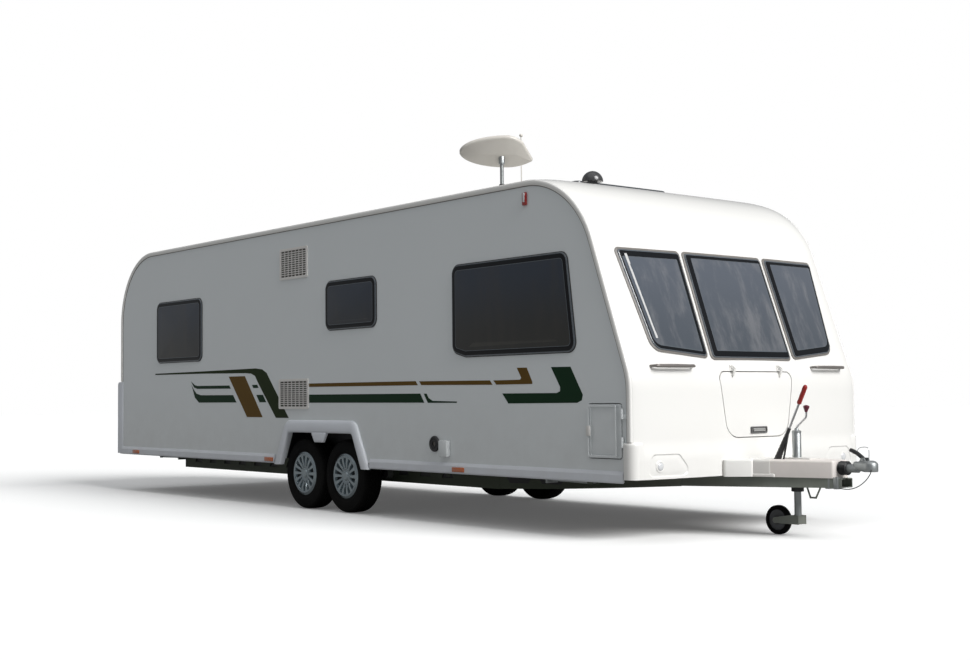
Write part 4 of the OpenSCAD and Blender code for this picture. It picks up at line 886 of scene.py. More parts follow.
bow_pane = [(station(5.786), 1.290), (station(5.946), 1.250), (station(7.159), 1.250),
            (station(7.069), 1.950), (station(5.786), 1.950)]
side_panes = {
    RIGHT: [upright_corners(0.838, 0.978, 1.327), upright_corners(4.030, 0.760, 1.527), bow_pane],
    LEFT: [upright_corners(0.838, 0.978, 1.327), upright_corners(4.000, 0.760, 1.527), bow_pane]}
PANE_R = 0.075
PANE_DOME = 0.007
for side, word in SIDES:
    for i, corners in enumerate(side_panes[side]):
        pane(f"side_pane_{word}_{i}", on_side(side), side_rings(corners, PANE_R), PANE_DOME, SIDE_GLASS_REFLECTING, ROOT,
             "tinted_glass", flip=side > 0, replaces=["side_windows_" + word] if i == 0 else [])
door_pane = upright_corners(5.060, 0.380, 1.420)
pane("door_pane", on_side(LEFT), side_rings(door_pane, PANE_R), PANE_DOME, SIDE_GLASS_REFLECTING, "door", "tinted_glass",
     flip=True, replaces=["door_window"])


def on_rear(u, v, d):
    """Lays an outline of [y, z] on the rear, at a height over it."""
    return Vector((REAR_X - stand(math.pi, u / HALF_W) - d, u, v))


pane("rear_pane", on_rear, side_rings(rear_pane, PANE_R), PANE_DOME, SIDE_GLASS_REFLECTING, ROOT, "tinted_glass",
     flip=True, replaces=["rear_window"])
print("side panes:", sum(len(panes) for panes in side_panes.values()), "with one in the door and one behind")

# %% [markdown]
# ## Front panes
# The three front panes lie on the raked part of the front and share one rule. Their dark borders are wider
# than the side's, partly as border and partly as painted shadow of the seal and the inner frame; the outer
# lower corners have a large radius, and a grey seal laps over their edges.


# %% Front panes
def on_rake(u, v, d):
    """Lays an outline of [y, z] on the raked front, at a height over it."""
    reach = rake_reach + stand(RAKE, u / HALF_W) + d
    return Vector(((reach - math.sin(RAKE) * v) / math.cos(RAKE), u, v))


# The edges of a front pane are given in this order: lower, left, upper, right
BORDER_AND_SHADOW_STRIP = 0.058
SEAL_LAP = 0.010
TIGHT_R = 0.034
WIDE_R = 0.095
BOND_W = 0.005
FRONT_DOME = 0.004
front_rounds = {"right": (TIGHT_R, TIGHT_R, WIDE_R, TIGHT_R), "centre": (TIGHT_R,) * 4,
                "left": (TIGHT_R, WIDE_R, TIGHT_R, TIGHT_R)}
# Border widths of the front panes: the wide dark bands are partly the border and partly painted shadow of the
# seal and the inner frame.
front_border_and_shadow_widths = {"right": (0.052, 0.026, 0.034, 0.038), "centre": (0.052, 0.024, 0.034, BORDER_AND_SHADOW_STRIP),
               "left": (0.052, 0.026, 0.034, BORDER_AND_SHADOW_STRIP)}


def less(radii, amount):
    return [max(0.006, r - amount) for r in radii]


for word, corners in front_panes.items():
    border = front_border_and_shadow_widths[word]
    inner = [b + BOND_W for b in border]
    rounds = front_rounds[word]
    section = [(-SEAL_LAP, 0.0, 0.0003, SEAL_GREY), (-SEAL_LAP, 0.0, 0.006, SEAL_GREY),
               (0.004, 0.010, 0.0085, EDGE_GLASS), (0.008, 0.014, 0.0145, EDGE_GLASS),
               (0.013, 0.016, 0.0155, BORDER_GLASS), (border, 0.024, 0.0160, EDGE_GLASS),
               (inner, 0.026, 0.0160, FRONT_GLASS_REFLECTING)]
    rings = [(pull_in(corners, inset), less(rounds, cut), d, band) for inset, cut, d, band in section]
    pane("front_pane_" + word, on_rake, rings, FRONT_DOME, FRONT_GLASS_REFLECTING, ROOT, "front_glass",
         replaces=["front_windows"] if word == "centre" else [])
print("front panes:", len(front_panes))

# %% [markdown]
# ## Blind edge and painted highlight
# The blind behind the right-hand front pane shows as a pale line beside its outer edge, with a bright line of
# refraction on it. The pane is opaque here, so a thin strip on it stands for the blind and is partly a
# painted highlight.

# %% Blind edge and painted highlight
# The pale strip is partly the blind's edge and partly a painted highlight.
BLIND_AND_HIGHLIGHT_WHITE = finish("blind_and_highlight_white", (0.62, 0.62, 0.61), rough=0.2, patch=0.4, scale=12, coat=0.4)
BLIND_IN = 0.052
BLIND_LOW = 0.0160
BLIND_TOP = 0.0172
outer_top, outer_low = (Vector(corner) for corner in front_panes["right"][1:3])
into = Vector((outer_top.y - outer_low.y, outer_low.x - outer_top.x)).normalized()
edge_from = outer_top.lerp(outer_low, 0.06)
edge_to = outer_top.lerp(outer_low, 0.90)
blind = [edge_from + into * BLIND_IN, edge_from + into * (BLIND_IN + 0.022),
         edge_to + into * (BLIND_IN + 0.018), edge_to + into * BLIND_IN]
strip = prism(blind, lambda p: on_rake(p.x, p.y, BLIND_LOW), lambda p: on_rake(p.x, p.y, BLIND_TOP))
add_piece("blind_edge_and_highlight", *strip, [BLIND_AND_HIGHLIGHT_WHITE], ROOT, "front_glass", closed=True)
print("blind edge", round((edge_to - edge_from).length, 3), "m long")

# %% [markdown]
# ## Gas locker lid
# The lid is cut from the same skin as the front, a gap smaller than its opening, and hangs on two arms
# from pins above it. A grey latch sits near its lower edge.


# %% Gas locker lid
def under_lid(a, f, z=0):
    return stand(a, f) - SKIN_T


def on_front(u, v, d):
    """Lays an outline of [y, z] on the upright part of the front."""
    return Vector((FRONT_X + stand(0, u / HALF_W) + d, u, v))


def joint_at(name):
    """Where a joint's axis runs."""
    return next(Vector(j["pos_m"]) for j in frame["joints"] if j["name"] == name)


LID_FROM = 0.58
LID_TO = 1.19
lid_line = [s for s in front_line if LID_FROM < s[2] < LID_TO]
lid_shape = prism_along(round_loop(pull_in(lid_corners, LID_GAP), LID_R, 10), LID_BACK, PAST_NOSE)
lid_mesh = carved(shell(lid_line, under_lid, over, columns), [lid_shape], "INTERSECT")
add_mesh("gas_lid_skin", painted(lid_mesh, MOULDING_WHITE), "gas_lid", 30, ["gas_locker_lid"])
lid_pin = joint_at("gas_lid_lift")
ARMS_Y = (-0.25, 0.25)
ARM_HALF = 0.007
ARM_LOW = 1.080
PIN_HOUSE = 0.008
arm_parts = []
for y in ARMS_Y:
    skin_x = FRONT_X + stand(0, y / HALF_W) - 0.006
    arm = [(skin_x - 0.008, ARM_LOW), (skin_x + 0.008, ARM_LOW), (lid_pin.x + PIN_HOUSE, lid_pin.z),
           (lid_pin.x - 0.004, lid_pin.z - PIN_HOUSE)]
    ends = [(lid_pin.x, y + d, lid_pin.z) for d in (-ARM_HALF, ARM_HALF)]
    arm_parts.append(prism_across(arm, y - ARM_HALF, y + ARM_HALF))
    arm_parts.append(tube_mesh(ends, PIN_HOUSE, 20))
add_piece("gas_lid_arms", *join(*arm_parts), [MOULDING_WHITE], "gas_lid", "body_white", closed=True)
print("lid:", len(lid_mesh.polygons), "faces")

# %% [markdown]
# ## Lid latch
# The latch is a moulded plate with a raised rim, and its pull is a smaller one on top. Both come from rings
# of outlines, the last of which is filled.


# %% Lid latch
def capped(rings, mapper, steps):
    """Rings of (corners, radius, height) joined up, with the last one filled."""
    loops = [[mapper(p.x, p.y, d) for p in round_loop(corners, r, steps)] for corners, r, d in rings]
    count = len(loops[0])
    points = [p for loop in loops for p in loop]
    return points, ring_faces(len(loops), count) + [tuple(range(len(points) - count, len(points)))]


def plaque(name, corners, radius, heights, finishes, mapper, body, slot):
    """A small moulded plate: a raised rim and a floor inside it."""
    rim, floor_height = heights
    rings = [(corners, radius, 0.0), (corners, radius, rim * 0.7),
             (pull_in(corners, 0.003), radius * 0.9, rim), (pull_in(corners, 0.008), radius * 0.7, rim),
             (pull_in(corners, 0.010), radius * 0.6, floor_height)]
    points, faces = capped(rings, mapper, 4)
    kinds = [0] * (len(faces) - 1) + [1]
    return add_piece(name, points, faces, finishes, body, slot, kinds, 40)


LATCH_GREY = finish("latch_grey", (0.13, 0.13, 0.13), rough=0.4, patch=0.4, scale=30)
PULL_GREY = finish("pull_grey", (0.36, 0.36, 0.35), rough=0.4, patch=0.4, scale=30)
latch = [(-0.085, 0.688), (0.085, 0.688), (0.085, 0.735), (-0.085, 0.735)]
grip = [(-0.062, 0.700), (0.062, 0.700), (0.062, 0.724), (-0.062, 0.724)]
plates = [("gas_lid_latch", latch, 0.008, (0.012, 0.004), [LATCH_GREY, SEAL_GREY]),
          ("gas_lid_pull", grip, 0.006, (0.013, 0.010), [PULL_GREY, PULL_GREY])]
for name, corners, radius, heights, tones in plates:
    plaque(name, corners, radius, heights, tones, on_front, "gas_lid", "trim_grey")
print("latch", round(latch[1][0] - latch[0][0], 3), "m wide")

# %% [markdown]
# ## Lower front
# A thicker moulding wraps the foot of the front. At each corner it holds a sunk lamp panel, and its top
# edge fades into the front so that no step shows.

# %% Lower front moulding and lamp panels
VALANCE_T = 0.018
VALANCE_Z = 0.668
VALANCE_FADE = 0.14
PANEL_R = 0.045
lamp_panel = [(-1.095, 0.424), (-0.665, 0.424), (-0.800, 0.572), (-1.035, 0.572)]
lamp_panels = {"right": lamp_panel, "left": mirror_corners(lamp_panel)}


def valance_thick(z):
    """The lower front's thickness, which fades out towards its top edge."""
    fade = min(1.0, max(0.0, (VALANCE_Z - z) / VALANCE_FADE))
    return VALANCE_T * fade * fade * (3 - 2 * fade)


def over_valance(a, f, z=0):
    """The lower front's outer face."""
    return stand(a, f) - edge_drop(f) + 0.0005 + valance_thick(z)


def under_valance(a, f, z=0):
    """The lower front's inner face, which lies on the front."""
    return stand(a, f) + 0.0002 - edge_drop(f)


valance_line = straight((0, FRONT_X, SKIN_LOW_Z), (0, FRONT_X, VALANCE_Z), 30) + [(0, FRONT_X, VALANCE_Z)]
lid_margin = round_loop(pull_in(lid_corners, -0.012), [r + 0.012 for r in LID_R], 10)
valance_cuts = [prism_along(lid_margin, LID_BACK, PAST_NOSE)]
valance_cuts += [prism_along(round_loop(c, PANEL_R), LID_BACK, PAST_NOSE) for c in lamp_panels.values()]
valance_mesh = carved(shell(valance_line, under_valance, over_valance, columns), valance_cuts)
add_mesh("lower_front", painted(valance_mesh, MOULDING_WHITE), ROOT, 30, ["front_valance"])
panel_section = [(0.0, PANEL_R, 0.0), (0.004, 0.043, 0.005), (0.009, 0.040, 0.0055), (0.016, 0.036, 0.003),
                 (0.050, 0.020, 0.002)]
for word, corners in lamp_panels.items():
    rings = [(pull_in(corners, inset), r, VALANCE_T - sunk) for inset, r, sunk in panel_section]
    add_piece("lamp_panel_" + word, *capped(rings, on_front, 6), [MOULDING_WHITE], ROOT, "body_white",
              angle=60)
print("lower front:", len(valance_mesh.polygons), "faces")

# %% [markdown]
# ## Stripes
# The side carries film stripes in dark green and gold. Each is one flat outline; where an outline bends,
# a few rounded points are enough. On the left the film is cut at the door, and that piece rides on it.

# %% Stripe outlines, as stations and heights
stripes = [("sweep", STRIPE_OLIVE,
            [(0.795, 1.212), (1.80, 1.207), (2.66, 1.196), (2.76, 1.190), (2.83, 1.168), (2.88, 1.110),
             (3.20, 0.787), (3.42, 0.787), (3.09, 1.135), (3.04, 1.190), (2.96, 1.225), (2.84, 1.236),
             (1.80, 1.229), (0.795, 1.225)]),
           ("flash", STRIPE_GOLD, [(2.683, 0.791), (2.967, 0.791), (2.643, 1.169), (2.338, 1.169)]),
           ("line_rear", STRIPE_GREEN,
            [(1.580, 1.135), (1.640, 1.075), (1.710, 1.060), (2.375, 1.056), (2.350, 1.086), (1.710, 1.089),
             (1.655, 1.098)]),
           ("line_mid", STRIPE_GREEN, [(2.800, 1.057), (2.895, 1.057), (2.870, 1.086), (2.775, 1.086)]),
           ("band_rear", STRIPE_GREEN,
            [(1.590, 1.100), (1.660, 0.975), (1.745, 0.926), (2.487, 0.926), (2.420, 0.995), (1.780, 0.998),
             (1.690, 1.015), (1.640, 1.050)]),
           ("band_mid", STRIPE_GREEN, [(2.913, 0.926), (3.032, 0.926), (2.972, 0.994), (2.855, 0.994)]),
           ("band_long", STRIPE_GREEN, [(3.757, 0.920), (5.422, 0.916), (5.370, 0.987), (3.757, 0.990)]),
           ("band_wedge", STRIPE_GREEN,
            [(5.468, 0.915), (5.830, 0.914), (5.830, 0.924), (5.530, 0.930), (5.478, 0.952), (5.452, 0.986),
             (5.416, 0.986)]),
           ("band_front", STRIPE_GREEN,
            [(6.428, 0.908), (7.150, 0.911), (7.195, 0.928), (7.205, 0.965), (7.086, 1.156), (6.888, 1.158),
             (6.980, 1.020), (6.978, 0.990), (6.945, 0.979), (6.361, 0.980)]),
           ("line_long", STRIPE_GOLD, [(3.757, 1.056), (5.340, 1.052), (5.312, 1.084), (3.757, 1.086)]),
           ("line_next", STRIPE_GOLD, [(5.385, 1.052), (6.252, 1.044), (6.222, 1.076), (5.357, 1.082)]),
           ("line_front", STRIPE_GOLD,
            [(6.295, 1.044), (6.690, 1.044), (6.690, 1.060), (6.632, 1.160), (6.524, 1.161), (6.572, 1.090),
             (6.560, 1.076), (6.262, 1.075)])]
FILM_T = 0.0012
DOOR_FROM = station(4.930)
DOOR_TO = station(5.570)
DOOR_GAP = 0.006


def film(name, material, outline, side, body, low_x, high_x):
    """A stripe as a thin film on a side wall, kept between two places along it."""
    bm = bmesh.new()
    ring = [bm.verts.new((station(x), side * HALF_W, z)) for x, z in outline]
    bm.faces.new(ring)
    for x, keep in ((low_x, -1), (high_x, 1)):
        bmesh.ops.bisect_plane(bm, geom=bm.verts[:] + bm.edges[:] + bm.faces[:], plane_co=(x, 0, 0),
                               plane_no=(keep, 0, 0), clear_outer=True)
    if bm.faces:
        lifted = bmesh.ops.extrude_face_region(bm, geom=bm.faces[:])["geom"]
        bmesh.ops.translate(bm, verts=[v for v in lifted if isinstance(v, bmesh.types.BMVert)],
                            vec=(0, side * FILM_T, 0))
        bmesh.ops.recalc_face_normals(bm, faces=bm.faces[:])
        mesh = bpy.data.meshes.new(name)
        bm.to_mesh(mesh)
        add_mesh(name, painted(mesh, material), body, 30)
    bm.free()


FAR = 20
for name, material, outline in stripes:
    film(f"stripe_{name}_right", material, outline, RIGHT, ROOT, -FAR, FAR)
    film(f"stripe_{name}_left_rear", material, outline, LEFT, ROOT, -FAR, DOOR_FROM)
    film(f"stripe_{name}_left_door", material, outline, LEFT, "door", DOOR_FROM + DOOR_GAP,
         DOOR_TO - DOOR_GAP)
    film(f"stripe_{name}_left_front", material, outline, LEFT, ROOT, DOOR_TO, FAR)

# %% [markdown]
# ## Tyres
# A tyre is a turned profile. The tread is cut into it: four grooves round the tyre and short slots across
# its shoulders, made by drawing points in while the profile is turned.

# %% Tyres
TYRE_R = 0.307
TYRE_W = 0.185
RIM_R = 0.178
half_tyre = TYRE_W / 2
tread_half = 0.062
groove_at = (-0.044, -0.015, 0.015, 0.044)
GROOVE_W = 0.006
GROOVE_D = 0.007
tread = []
for g in groove_at:
    tread += [(g - GROOVE_W, 0), (g - GROOVE_W + 0.0015, -GROOVE_D), (g + GROOVE_W - 0.0015, -GROOVE_D),
              (g + GROOVE_W, 0)]
crown = [(-tread_half, 0)] + tread + [(tread_half, 0)]
TREAD_CROWN = 0.9
TREAD_UNDER = 0.0006
wall_half = [(RIM_R + up, out) for up, out in (
    (0.0, 0.070), (0.012, 0.080), (0.018, 0.0865), (0.034, 0.0895), (0.036, 0.0910), (0.042, 0.0915),
    (0.060, 0.0925), (0.080, 0.0915), (0.098, 0.0880), (0.100, 0.0890), (0.106, 0.0880), (0.114, 0.0830),
    (0.122, 0.0740))]
crown_profile = [(TYRE_R - TREAD_UNDER - TREAD_CROWN * a * a + d, a) for a, d in crown]
tyre_profile = [(r, -a) for r, a in wall_half] + crown_profile + wall_half[::-1]
TYRE_STEPS = 288
SLOT_EVERY = 4
SIPE_EVERY = 6
SLOT_D = 0.0045


def tyre(centre):
    """A tyre's points and faces, with slots across both shoulders."""
    points, faces = lathe(tyre_profile, TYRE_STEPS, (0, 0, 0), (0, 1, 0))
    count = len(tyre_profile)
    for i, p in enumerate(points):
        r, a = tyre_profile[i % count]
        step = i // count
        shoulder = abs(a) > 0.050 and r > TYRE_R - 0.012
        middle = abs(a) < 0.038 and r > TYRE_R - 0.005
        if (shoulder and step % SLOT_EVERY == 0) or (middle and step % SIPE_EVERY == 0):
            scale = (r - SLOT_D) / r
            p.x *= scale
            p.z *= scale
    return [p + centre for p in points], faces


wheel_centres = {j["child"]: Vector(j["pos_m"]) for j in frame["joints"]
                 if j["name"].startswith("road_wheel")}
for body, centre in wheel_centres.items():
    name = body.replace("road_wheel", "tyre")
    add_piece(name + "_tread", *tyre(centre), [RUBBER], body, "tyre", angle=35, replaces=[name], closed=True)
print("tyres:", len(wheel_centres), "with", len(tyre_profile) * TYRE_STEPS, "points each")

# %% [markdown]
# ## Wheel trims
# Each wheel wears a silver trim with fourteen spokes. The trim is a disc of points in rings, and one rule
# of radius and angle gives its height: spokes stay high, and the slots between them sink and take a dark
# finish, painted shade for the openings.

# %% Wheels with trims
SPOKES = 14
TRIM_R = 0.186
TRIM_RINGS = 44
TRIM_STEPS = SPOKES * 18
SLOT_FROM = 0.062
SLOT_TO = 0.152
SLOT_DEEP = 0.030


def smooth(low, high, value):
    t = min(1.0, max(0.0, (value - low) / (high - low)))
    return t * t * (3 - 2 * t)


def trim_height(r, turn):
    """Height of a trim over the wheel's face, and how deep in a slot the place is."""
    pitch = 2 * math.pi / SPOKES
    off = abs((turn / pitch) % 1 - 0.5) * pitch * r
    half_slot = 0.0035 + 0.0125 * (r - SLOT_FROM) / (SLOT_TO - SLOT_FROM)
    inside_slot = smooth(half_slot + 0.0025, half_slot - 0.0025, off) if SLOT_FROM < r < SLOT_TO else 0.0
    inside_slot *= smooth(SLOT_FROM, SLOT_FROM + 0.008, r) * smooth(SLOT_TO, SLOT_TO - 0.006, r)
    dish = 0.010 * smooth(0.03, 0.12, r) - 0.012 * smooth(0.165, 0.186, r)
    cap = 0.006 * smooth(0.034, 0.030, r) - 0.004 * smooth(0.036, 0.040, r) * smooth(0.058, 0.050, r)
    rim = 0.004 * smooth(0.156, 0.162, r)
    return dish + cap + rim - SLOT_DEEP * inside_slot, inside_slot


def wheel(centre, outward):
    """Points, faces and finishes of a wheel: its trim outwards, and the plain barrel behind."""
    points, deep = [], []
    face_at = half_tyre - 0.012
    for ring in range(TRIM_RINGS + 1):
        r = TRIM_R * (0.004 + 0.996 * ring / TRIM_RINGS)
        for step in range(TRIM_STEPS):
            turn = 2 * math.pi * step / TRIM_STEPS
            height, slot_shade_depth = trim_height(r, turn)
            points.append(Vector((r * math.cos(turn), outward * (face_at + height), r * math.sin(turn))))
            deep.append(slot_shade_depth)
    faces = ring_faces(TRIM_RINGS + 1, TRIM_STEPS) + [tuple(range(TRIM_STEPS))]
    # Faces deep in a slot take the dark finish: painted shade in the trim's openings.
    kinds = [1 if min(deep[i] for i in f) > 0.55 else 0 for f in faces[:-1]] + [0]
    barrel = [(0.022, 0.020), (0.060, 0.020), (0.150, 0.045), (0.158, 0.030), (0.160, -0.065),
              (0.180, -0.085), (0.186, -0.083), (RIM_R - 0.001, -0.060), (RIM_R - 0.001, 0.068),
              (TRIM_R, 0.066), (0.150, 0.058), (0.022, 0.050)]
    more_points, more_faces = lathe(barrel, 72, (0, 0, 0), (0, outward, 0))
    start = len(points)
    faces += [tuple(start + i for i in f) for f in more_faces]
    kinds += [0] * len(more_faces)
    return [p + centre for p in points + more_points], faces if outward < 0 else turned(faces), kinds


for body, centre in wheel_centres.items():
    name = body.replace("road_wheel", "wheel")
    points, faces, kinds = wheel(centre, RIGHT if centre.y < 0 else LEFT)
    add_piece(name + "_trim", points, faces, [WHEEL_SILVER, WHEEL_SLOT_SHADE], body, "wheel_silver", kinds, 50,
              replaces=[name])
print("trims:", SPOKES, "spokes each")

# %% [markdown]
# ## Wheel arch spats
# A moulded band frames the two wheels. It is lofted between an outer and an inner outline, crowned between
# them, and turns in at the wheel opening. A tongue hangs from its middle, between the wheels.

# %% Wheel arch spats
AXLE_X = sum(c.x for c in wheel_centres.values()) / len(wheel_centres)
spat_outer = [(-0.743, 0.377), (-0.543, 0.771), (0.543, 0.771), (0.743, 0.377)]
spat_inner = [(-0.635, 0.377), (-0.502, 0.663), (0.502, 0.663), (0.635, 0.377)]
tongue = [(-0.128, 0.672), (-0.068, 0.583), (0.068, 0.583), (0.128, 0.672)]
spat_section = [(0.0, 0.0003), (0.02, 0.014), (0.08, 0.022), (0.25, 0.028), (0.55, 0.030), (0.82, 0.029),
                (0.95, 0.025), (1.0, 0.016), (1.0, -0.020)]


def bent(corners, radius, steps=8):
    """An open outline with its inner corners rounded."""
    loop = [Vector(corners[0])]
    for i in (1, 2):
        near = round_loop([corners[i - 1], corners[i], corners[i + 1]], radius, steps)
        loop += near[steps + 1:2 * (steps + 1)]
    return loop + [Vector(corners[-1])]


def spat(side):
    """Points and faces of the band and of its tongue."""
    lay = on_side(side)
    points = []
    outer = bent(spat_outer, 0.11)
    inner = bent(spat_inner, 0.05)
    for share, d in spat_section:
        for a, b in zip(outer, inner):
            p = a + (b - a) * share
            points.append(lay(AXLE_X + p.x, p.y, d))
    faces = ring_faces(len(spat_section), len(outer), closed=False)
    rings = [(tongue, 0.012, 0.002), (tongue, 0.012, 0.020), (pull_in(tongue, 0.006), 0.010, 0.0255),
             (pull_in(tongue, 0.018), 0.008, 0.027)]
    tongue_shape = capped(rings, lambda u, v, d: lay(AXLE_X + u, v, d), 3)
    points, faces = join((points, turned(faces)), tongue_shape)
    return points, faces if side < 0 else turned(faces)


for side, word in SIDES:
    add_piece("wheel_spat_" + word, *spat(side), [TRIM_WHITE], ROOT, "trim_grey", angle=50,
              replaces=["wheel_spats"] if side == RIGHT else [])
print("spats about", round(AXLE_X, 4))

# %% [markdown]
# ## Several finishes on one piece
# Small fittings mix steel, rubber and plastic. An assembly joins such parts into one piece, and each part
# keeps its own finish.


# %% Assembly helper
def assembly(name, parts, body, slot, angle=40, replaces=()):
    """One piece from parts of (points and faces, finish), each a closed shape."""
    materials = list(dict.fromkeys(material for _, material in parts))
    kinds = [materials.index(material) for (_, faces), material in parts for _ in faces]
    points, faces = join(*[part for part, _ in parts])
    return add_piece(name, points, faces, materials, body, slot, kinds, angle, replaces, closed=True)


def taken_from(bm):
    """Points and faces of a working mesh, which is then let go."""
    bm.verts.index_update()
    result = [v.co.copy() for v in bm.verts], [tuple(v.index for v in f.verts) for f in bm.faces]
    bm.free()
    return result


def block(low, high, bevel=0.003, segments=2):
    """Points and faces of a box with cut edges."""
    bm = bmesh.new()
    bmesh.ops.create_cube(bm, size=1)
    for v in bm.verts:
        v.co = Vector([(low[i] + high[i]) / 2 + v.co[i] * (high[i] - low[i]) for i in range(3)])
    bmesh.ops.bevel(bm, geom=bm.edges[:], offset=bevel, segments=segments, profile=0.5, affect="EDGES")
    return taken_from(bm)


def side_block(side, along, out, up, bevel):
    """A block on a side wall, from its spans along it, out from it and upwards."""
    y0, y1 = sorted(side * (HALF_W + d) for d in out)
    return block((along[0], y0, up[0]), (along[1], y1, up[1]), bevel)


def loft(rings, mapper):
    """Rings of (corners, radius, height) joined up and closed at both ends."""
    points, faces = capped(rings, mapper, 5)
    return points, faces + [tuple(reversed(range(len(points) // len(rings))))]


def wrapped(points):
    """The skin round a cloud of points."""
    bm = bmesh.new()
    for p in points:
        bm.verts.new(p)
    made = bmesh.ops.convex_hull(bm, input=bm.verts[:])
    bmesh.ops.delete(bm, geom=[v for v in made["geom_interior"] if isinstance(v, bmesh.types.BMVert)],
                     context="VERTS")
    return taken_from(bm)


def disc(x, radius, z, steps=40):
    """Points round a level circle on the middle line."""
    turns = [2 * math.pi * k / steps for k in range(steps)]
    return [Vector((x + radius * math.cos(t), radius * math.sin(t), z)) for t in turns]


def smooth_route(route, steps=5):
    """A route with more points, curved through the given ones."""
    route = [Vector(p) for p in route]
    fine = []
    for i in range(len(route) - 1):
        a, b, c, d = (route[max(0, min(len(route) - 1, i + k))] for k in (-1, 0, 1, 2))
        for k in range(steps):
            t = k / steps
            fine.append(0.5 * (2 * b + (c - a) * t + (2 * a - 5 * b + 4 * c - d) * t ** 2
                               + (3 * b - a - 3 * c + d) * t ** 3))
    return fine + [route[-1]]


print("assembly helpers ready")

# %% [markdown]
# ## Breakaway cable
# A thin cable bows from under the drawbar to the nose of the coupling. It is free to move. Its route
# is the construction's: places back from the coupling's tip.

# %% Breakaway cable
CABLE_R = 0.003
cable_route = [(0.268, -0.045, 0.3384), (0.260, -0.045, 0.3383), (0.246, -0.0454, 0.3376),
               (0.228, -0.046, 0.3362), (0.206, -0.0472, 0.3354), (0.182, -0.049, 0.3368),
               (0.154, -0.051, 0.3416), (0.126, -0.053, 0.350), (0.099, -0.055, 0.362),
               (0.074, -0.056, 0.377), (0.052, -0.056, 0.394), (0.034, -0.055, 0.413),
               (0.021, -0.051, 0.433), (0.0164, -0.0474, 0.444), (0.015, -0.0434, 0.456),
               (0.015, -0.0394, 0.468)]
cable_points = [Vector((TIP_X - back, y, z)) for back, y, z in cable_route]
cable = add_piece("breakaway_cord", *tube_mesh(cable_points, CABLE_R, 12), [BLACK_PLASTIC], ROOT,
                  "black_plastic", angle=60, replaces=["breakaway_cable"], closed=True)

# %% [markdown]
# ## Front corners
# At its ends the lower front turns round the corner and laps over the side wall, up to a rounded top edge.

# %% Front corners
WRAP_TOP = 0.649
WRAP_L = 0.046
WRAP_INNER = 0.040
WRAP_BACK = 0.012
WRAP_ROUND = 0.014
WRAP_THIN = 0.0006
WRAP_ROWS = 12
CORNER_STEPS = 14


def corner_row(side, z, thick):
    """Points round a front corner at one height, from the side wall to the front."""
    plan = [(-WRAP_L, 0.0), (-WRAP_L + 0.001, 0.6 * thick), (-WRAP_L + 0.006, 0.9 * thick),
            (-WRAP_L + 0.018, thick)]
    row = [Vector((FRONT_X + x, side * (HALF_W + y), z)) for x, y in plan]
    inner_y = HALF_W - WRAP_INNER
    front_d = stand(0, inner_y / HALF_W) + thick
    for k in range(CORNER_STEPS + 1):
        turn = UPRIGHT * k / CORNER_STEPS
        x = FRONT_X - WRAP_BACK + (front_d + WRAP_BACK) * math.sin(turn)
        row.append(Vector((x, side * (inner_y + (WRAP_INNER + thick) * math.cos(turn)), z)))
    row.append(on_front(side * (inner_y - 0.04), z, min(thick, valance_thick(z)) + 0.0008))
    return row


round_from = WRAP_TOP - WRAP_ROUND
for side, word in SIDES:
    rows = [corner_row(side, SKIN_LOW_Z + (round_from - SKIN_LOW_Z) * i / WRAP_ROWS, VALANCE_T)
            for i in range(WRAP_ROWS + 1)]
    for t in (0.4, 0.75, 1.05, 1.3, UPRIGHT):
        thick = WRAP_THIN + (VALANCE_T - WRAP_THIN) * math.cos(t)
        rows.append(corner_row(side, round_from + WRAP_ROUND * math.sin(t), thick))
    points = [p for row in rows for p in row]
    faces = ring_faces(len(rows), len(rows[0]), closed=False)
    add_piece("front_corner_" + word, points, faces if side < 0 else turned(faces), [MOULDING_WHITE], ROOT,
              "body_white", angle=50)
print("front corners up to", WRAP_TOP)

# %% [markdown]
# ## Rear corners
# The rear lamp panels end in a rolled corner that stands behind the side walls.

# %% Rear corners
REAR_TOP = 1.150
REAR_LOW = 0.392
ROLL_R = 0.030
ROLL_D = 0.116
ROLL_END = 0.074
ROLL_TOP = 0.030
ROLL_OUT = 0.0065
ROLL_STEPS = 8


def rear_row(side, z, depth):
    """Points round a rear corner at one height, from the side wall to the lamp panel."""
    row = [(0.030, 0.0006), (0.0285, 0.004), (0.020, ROLL_OUT), (-0.020, ROLL_OUT)]
    for k in range(ROLL_STEPS + 1):
        turn = UPRIGHT * k / ROLL_STEPS
        row.append((-depth + ROLL_R * (1 - math.sin(turn)), ROLL_OUT - ROLL_R * (1 - math.cos(turn))))
    row += [(-depth + 0.004, -0.040), (-0.070, -0.060)]
    return [Vector((REAR_X + x, side * (HALF_W + y), z)) for x, y in row]


round_from = REAR_TOP - ROLL_TOP
for side, word in SIDES:
    rows = [rear_row(side, REAR_LOW + (round_from - REAR_LOW) * i / 8, ROLL_D) for i in range(9)]
    for t in (0.4, 0.8, 1.15, UPRIGHT):
        depth = ROLL_END + (ROLL_D - ROLL_END) * math.cos(t)
        rows.append(rear_row(side, round_from + ROLL_TOP * math.sin(t), depth))
    count = len(rows[0])
    points = [p for row in rows for p in row]
    faces = ring_faces(len(rows), count, closed=False)
    faces += [tuple(range(count)), tuple(range(len(points) - 1, len(points) - count - 1, -1))]
    add_piece("rear_corner_" + word, points, turned(faces) if side < 0 else faces, [TRIM_WHITE], ROOT,
              "body_white", angle=50)
print("rear corners up to", REAR_TOP)

# %% [markdown]
# ## Chassis rails
# Dark plates behind the rails' openings are painted shade, for the dark seen through them. The steel's colour
# goes from dark under the body, a painted shade, to paler at the drawbar.

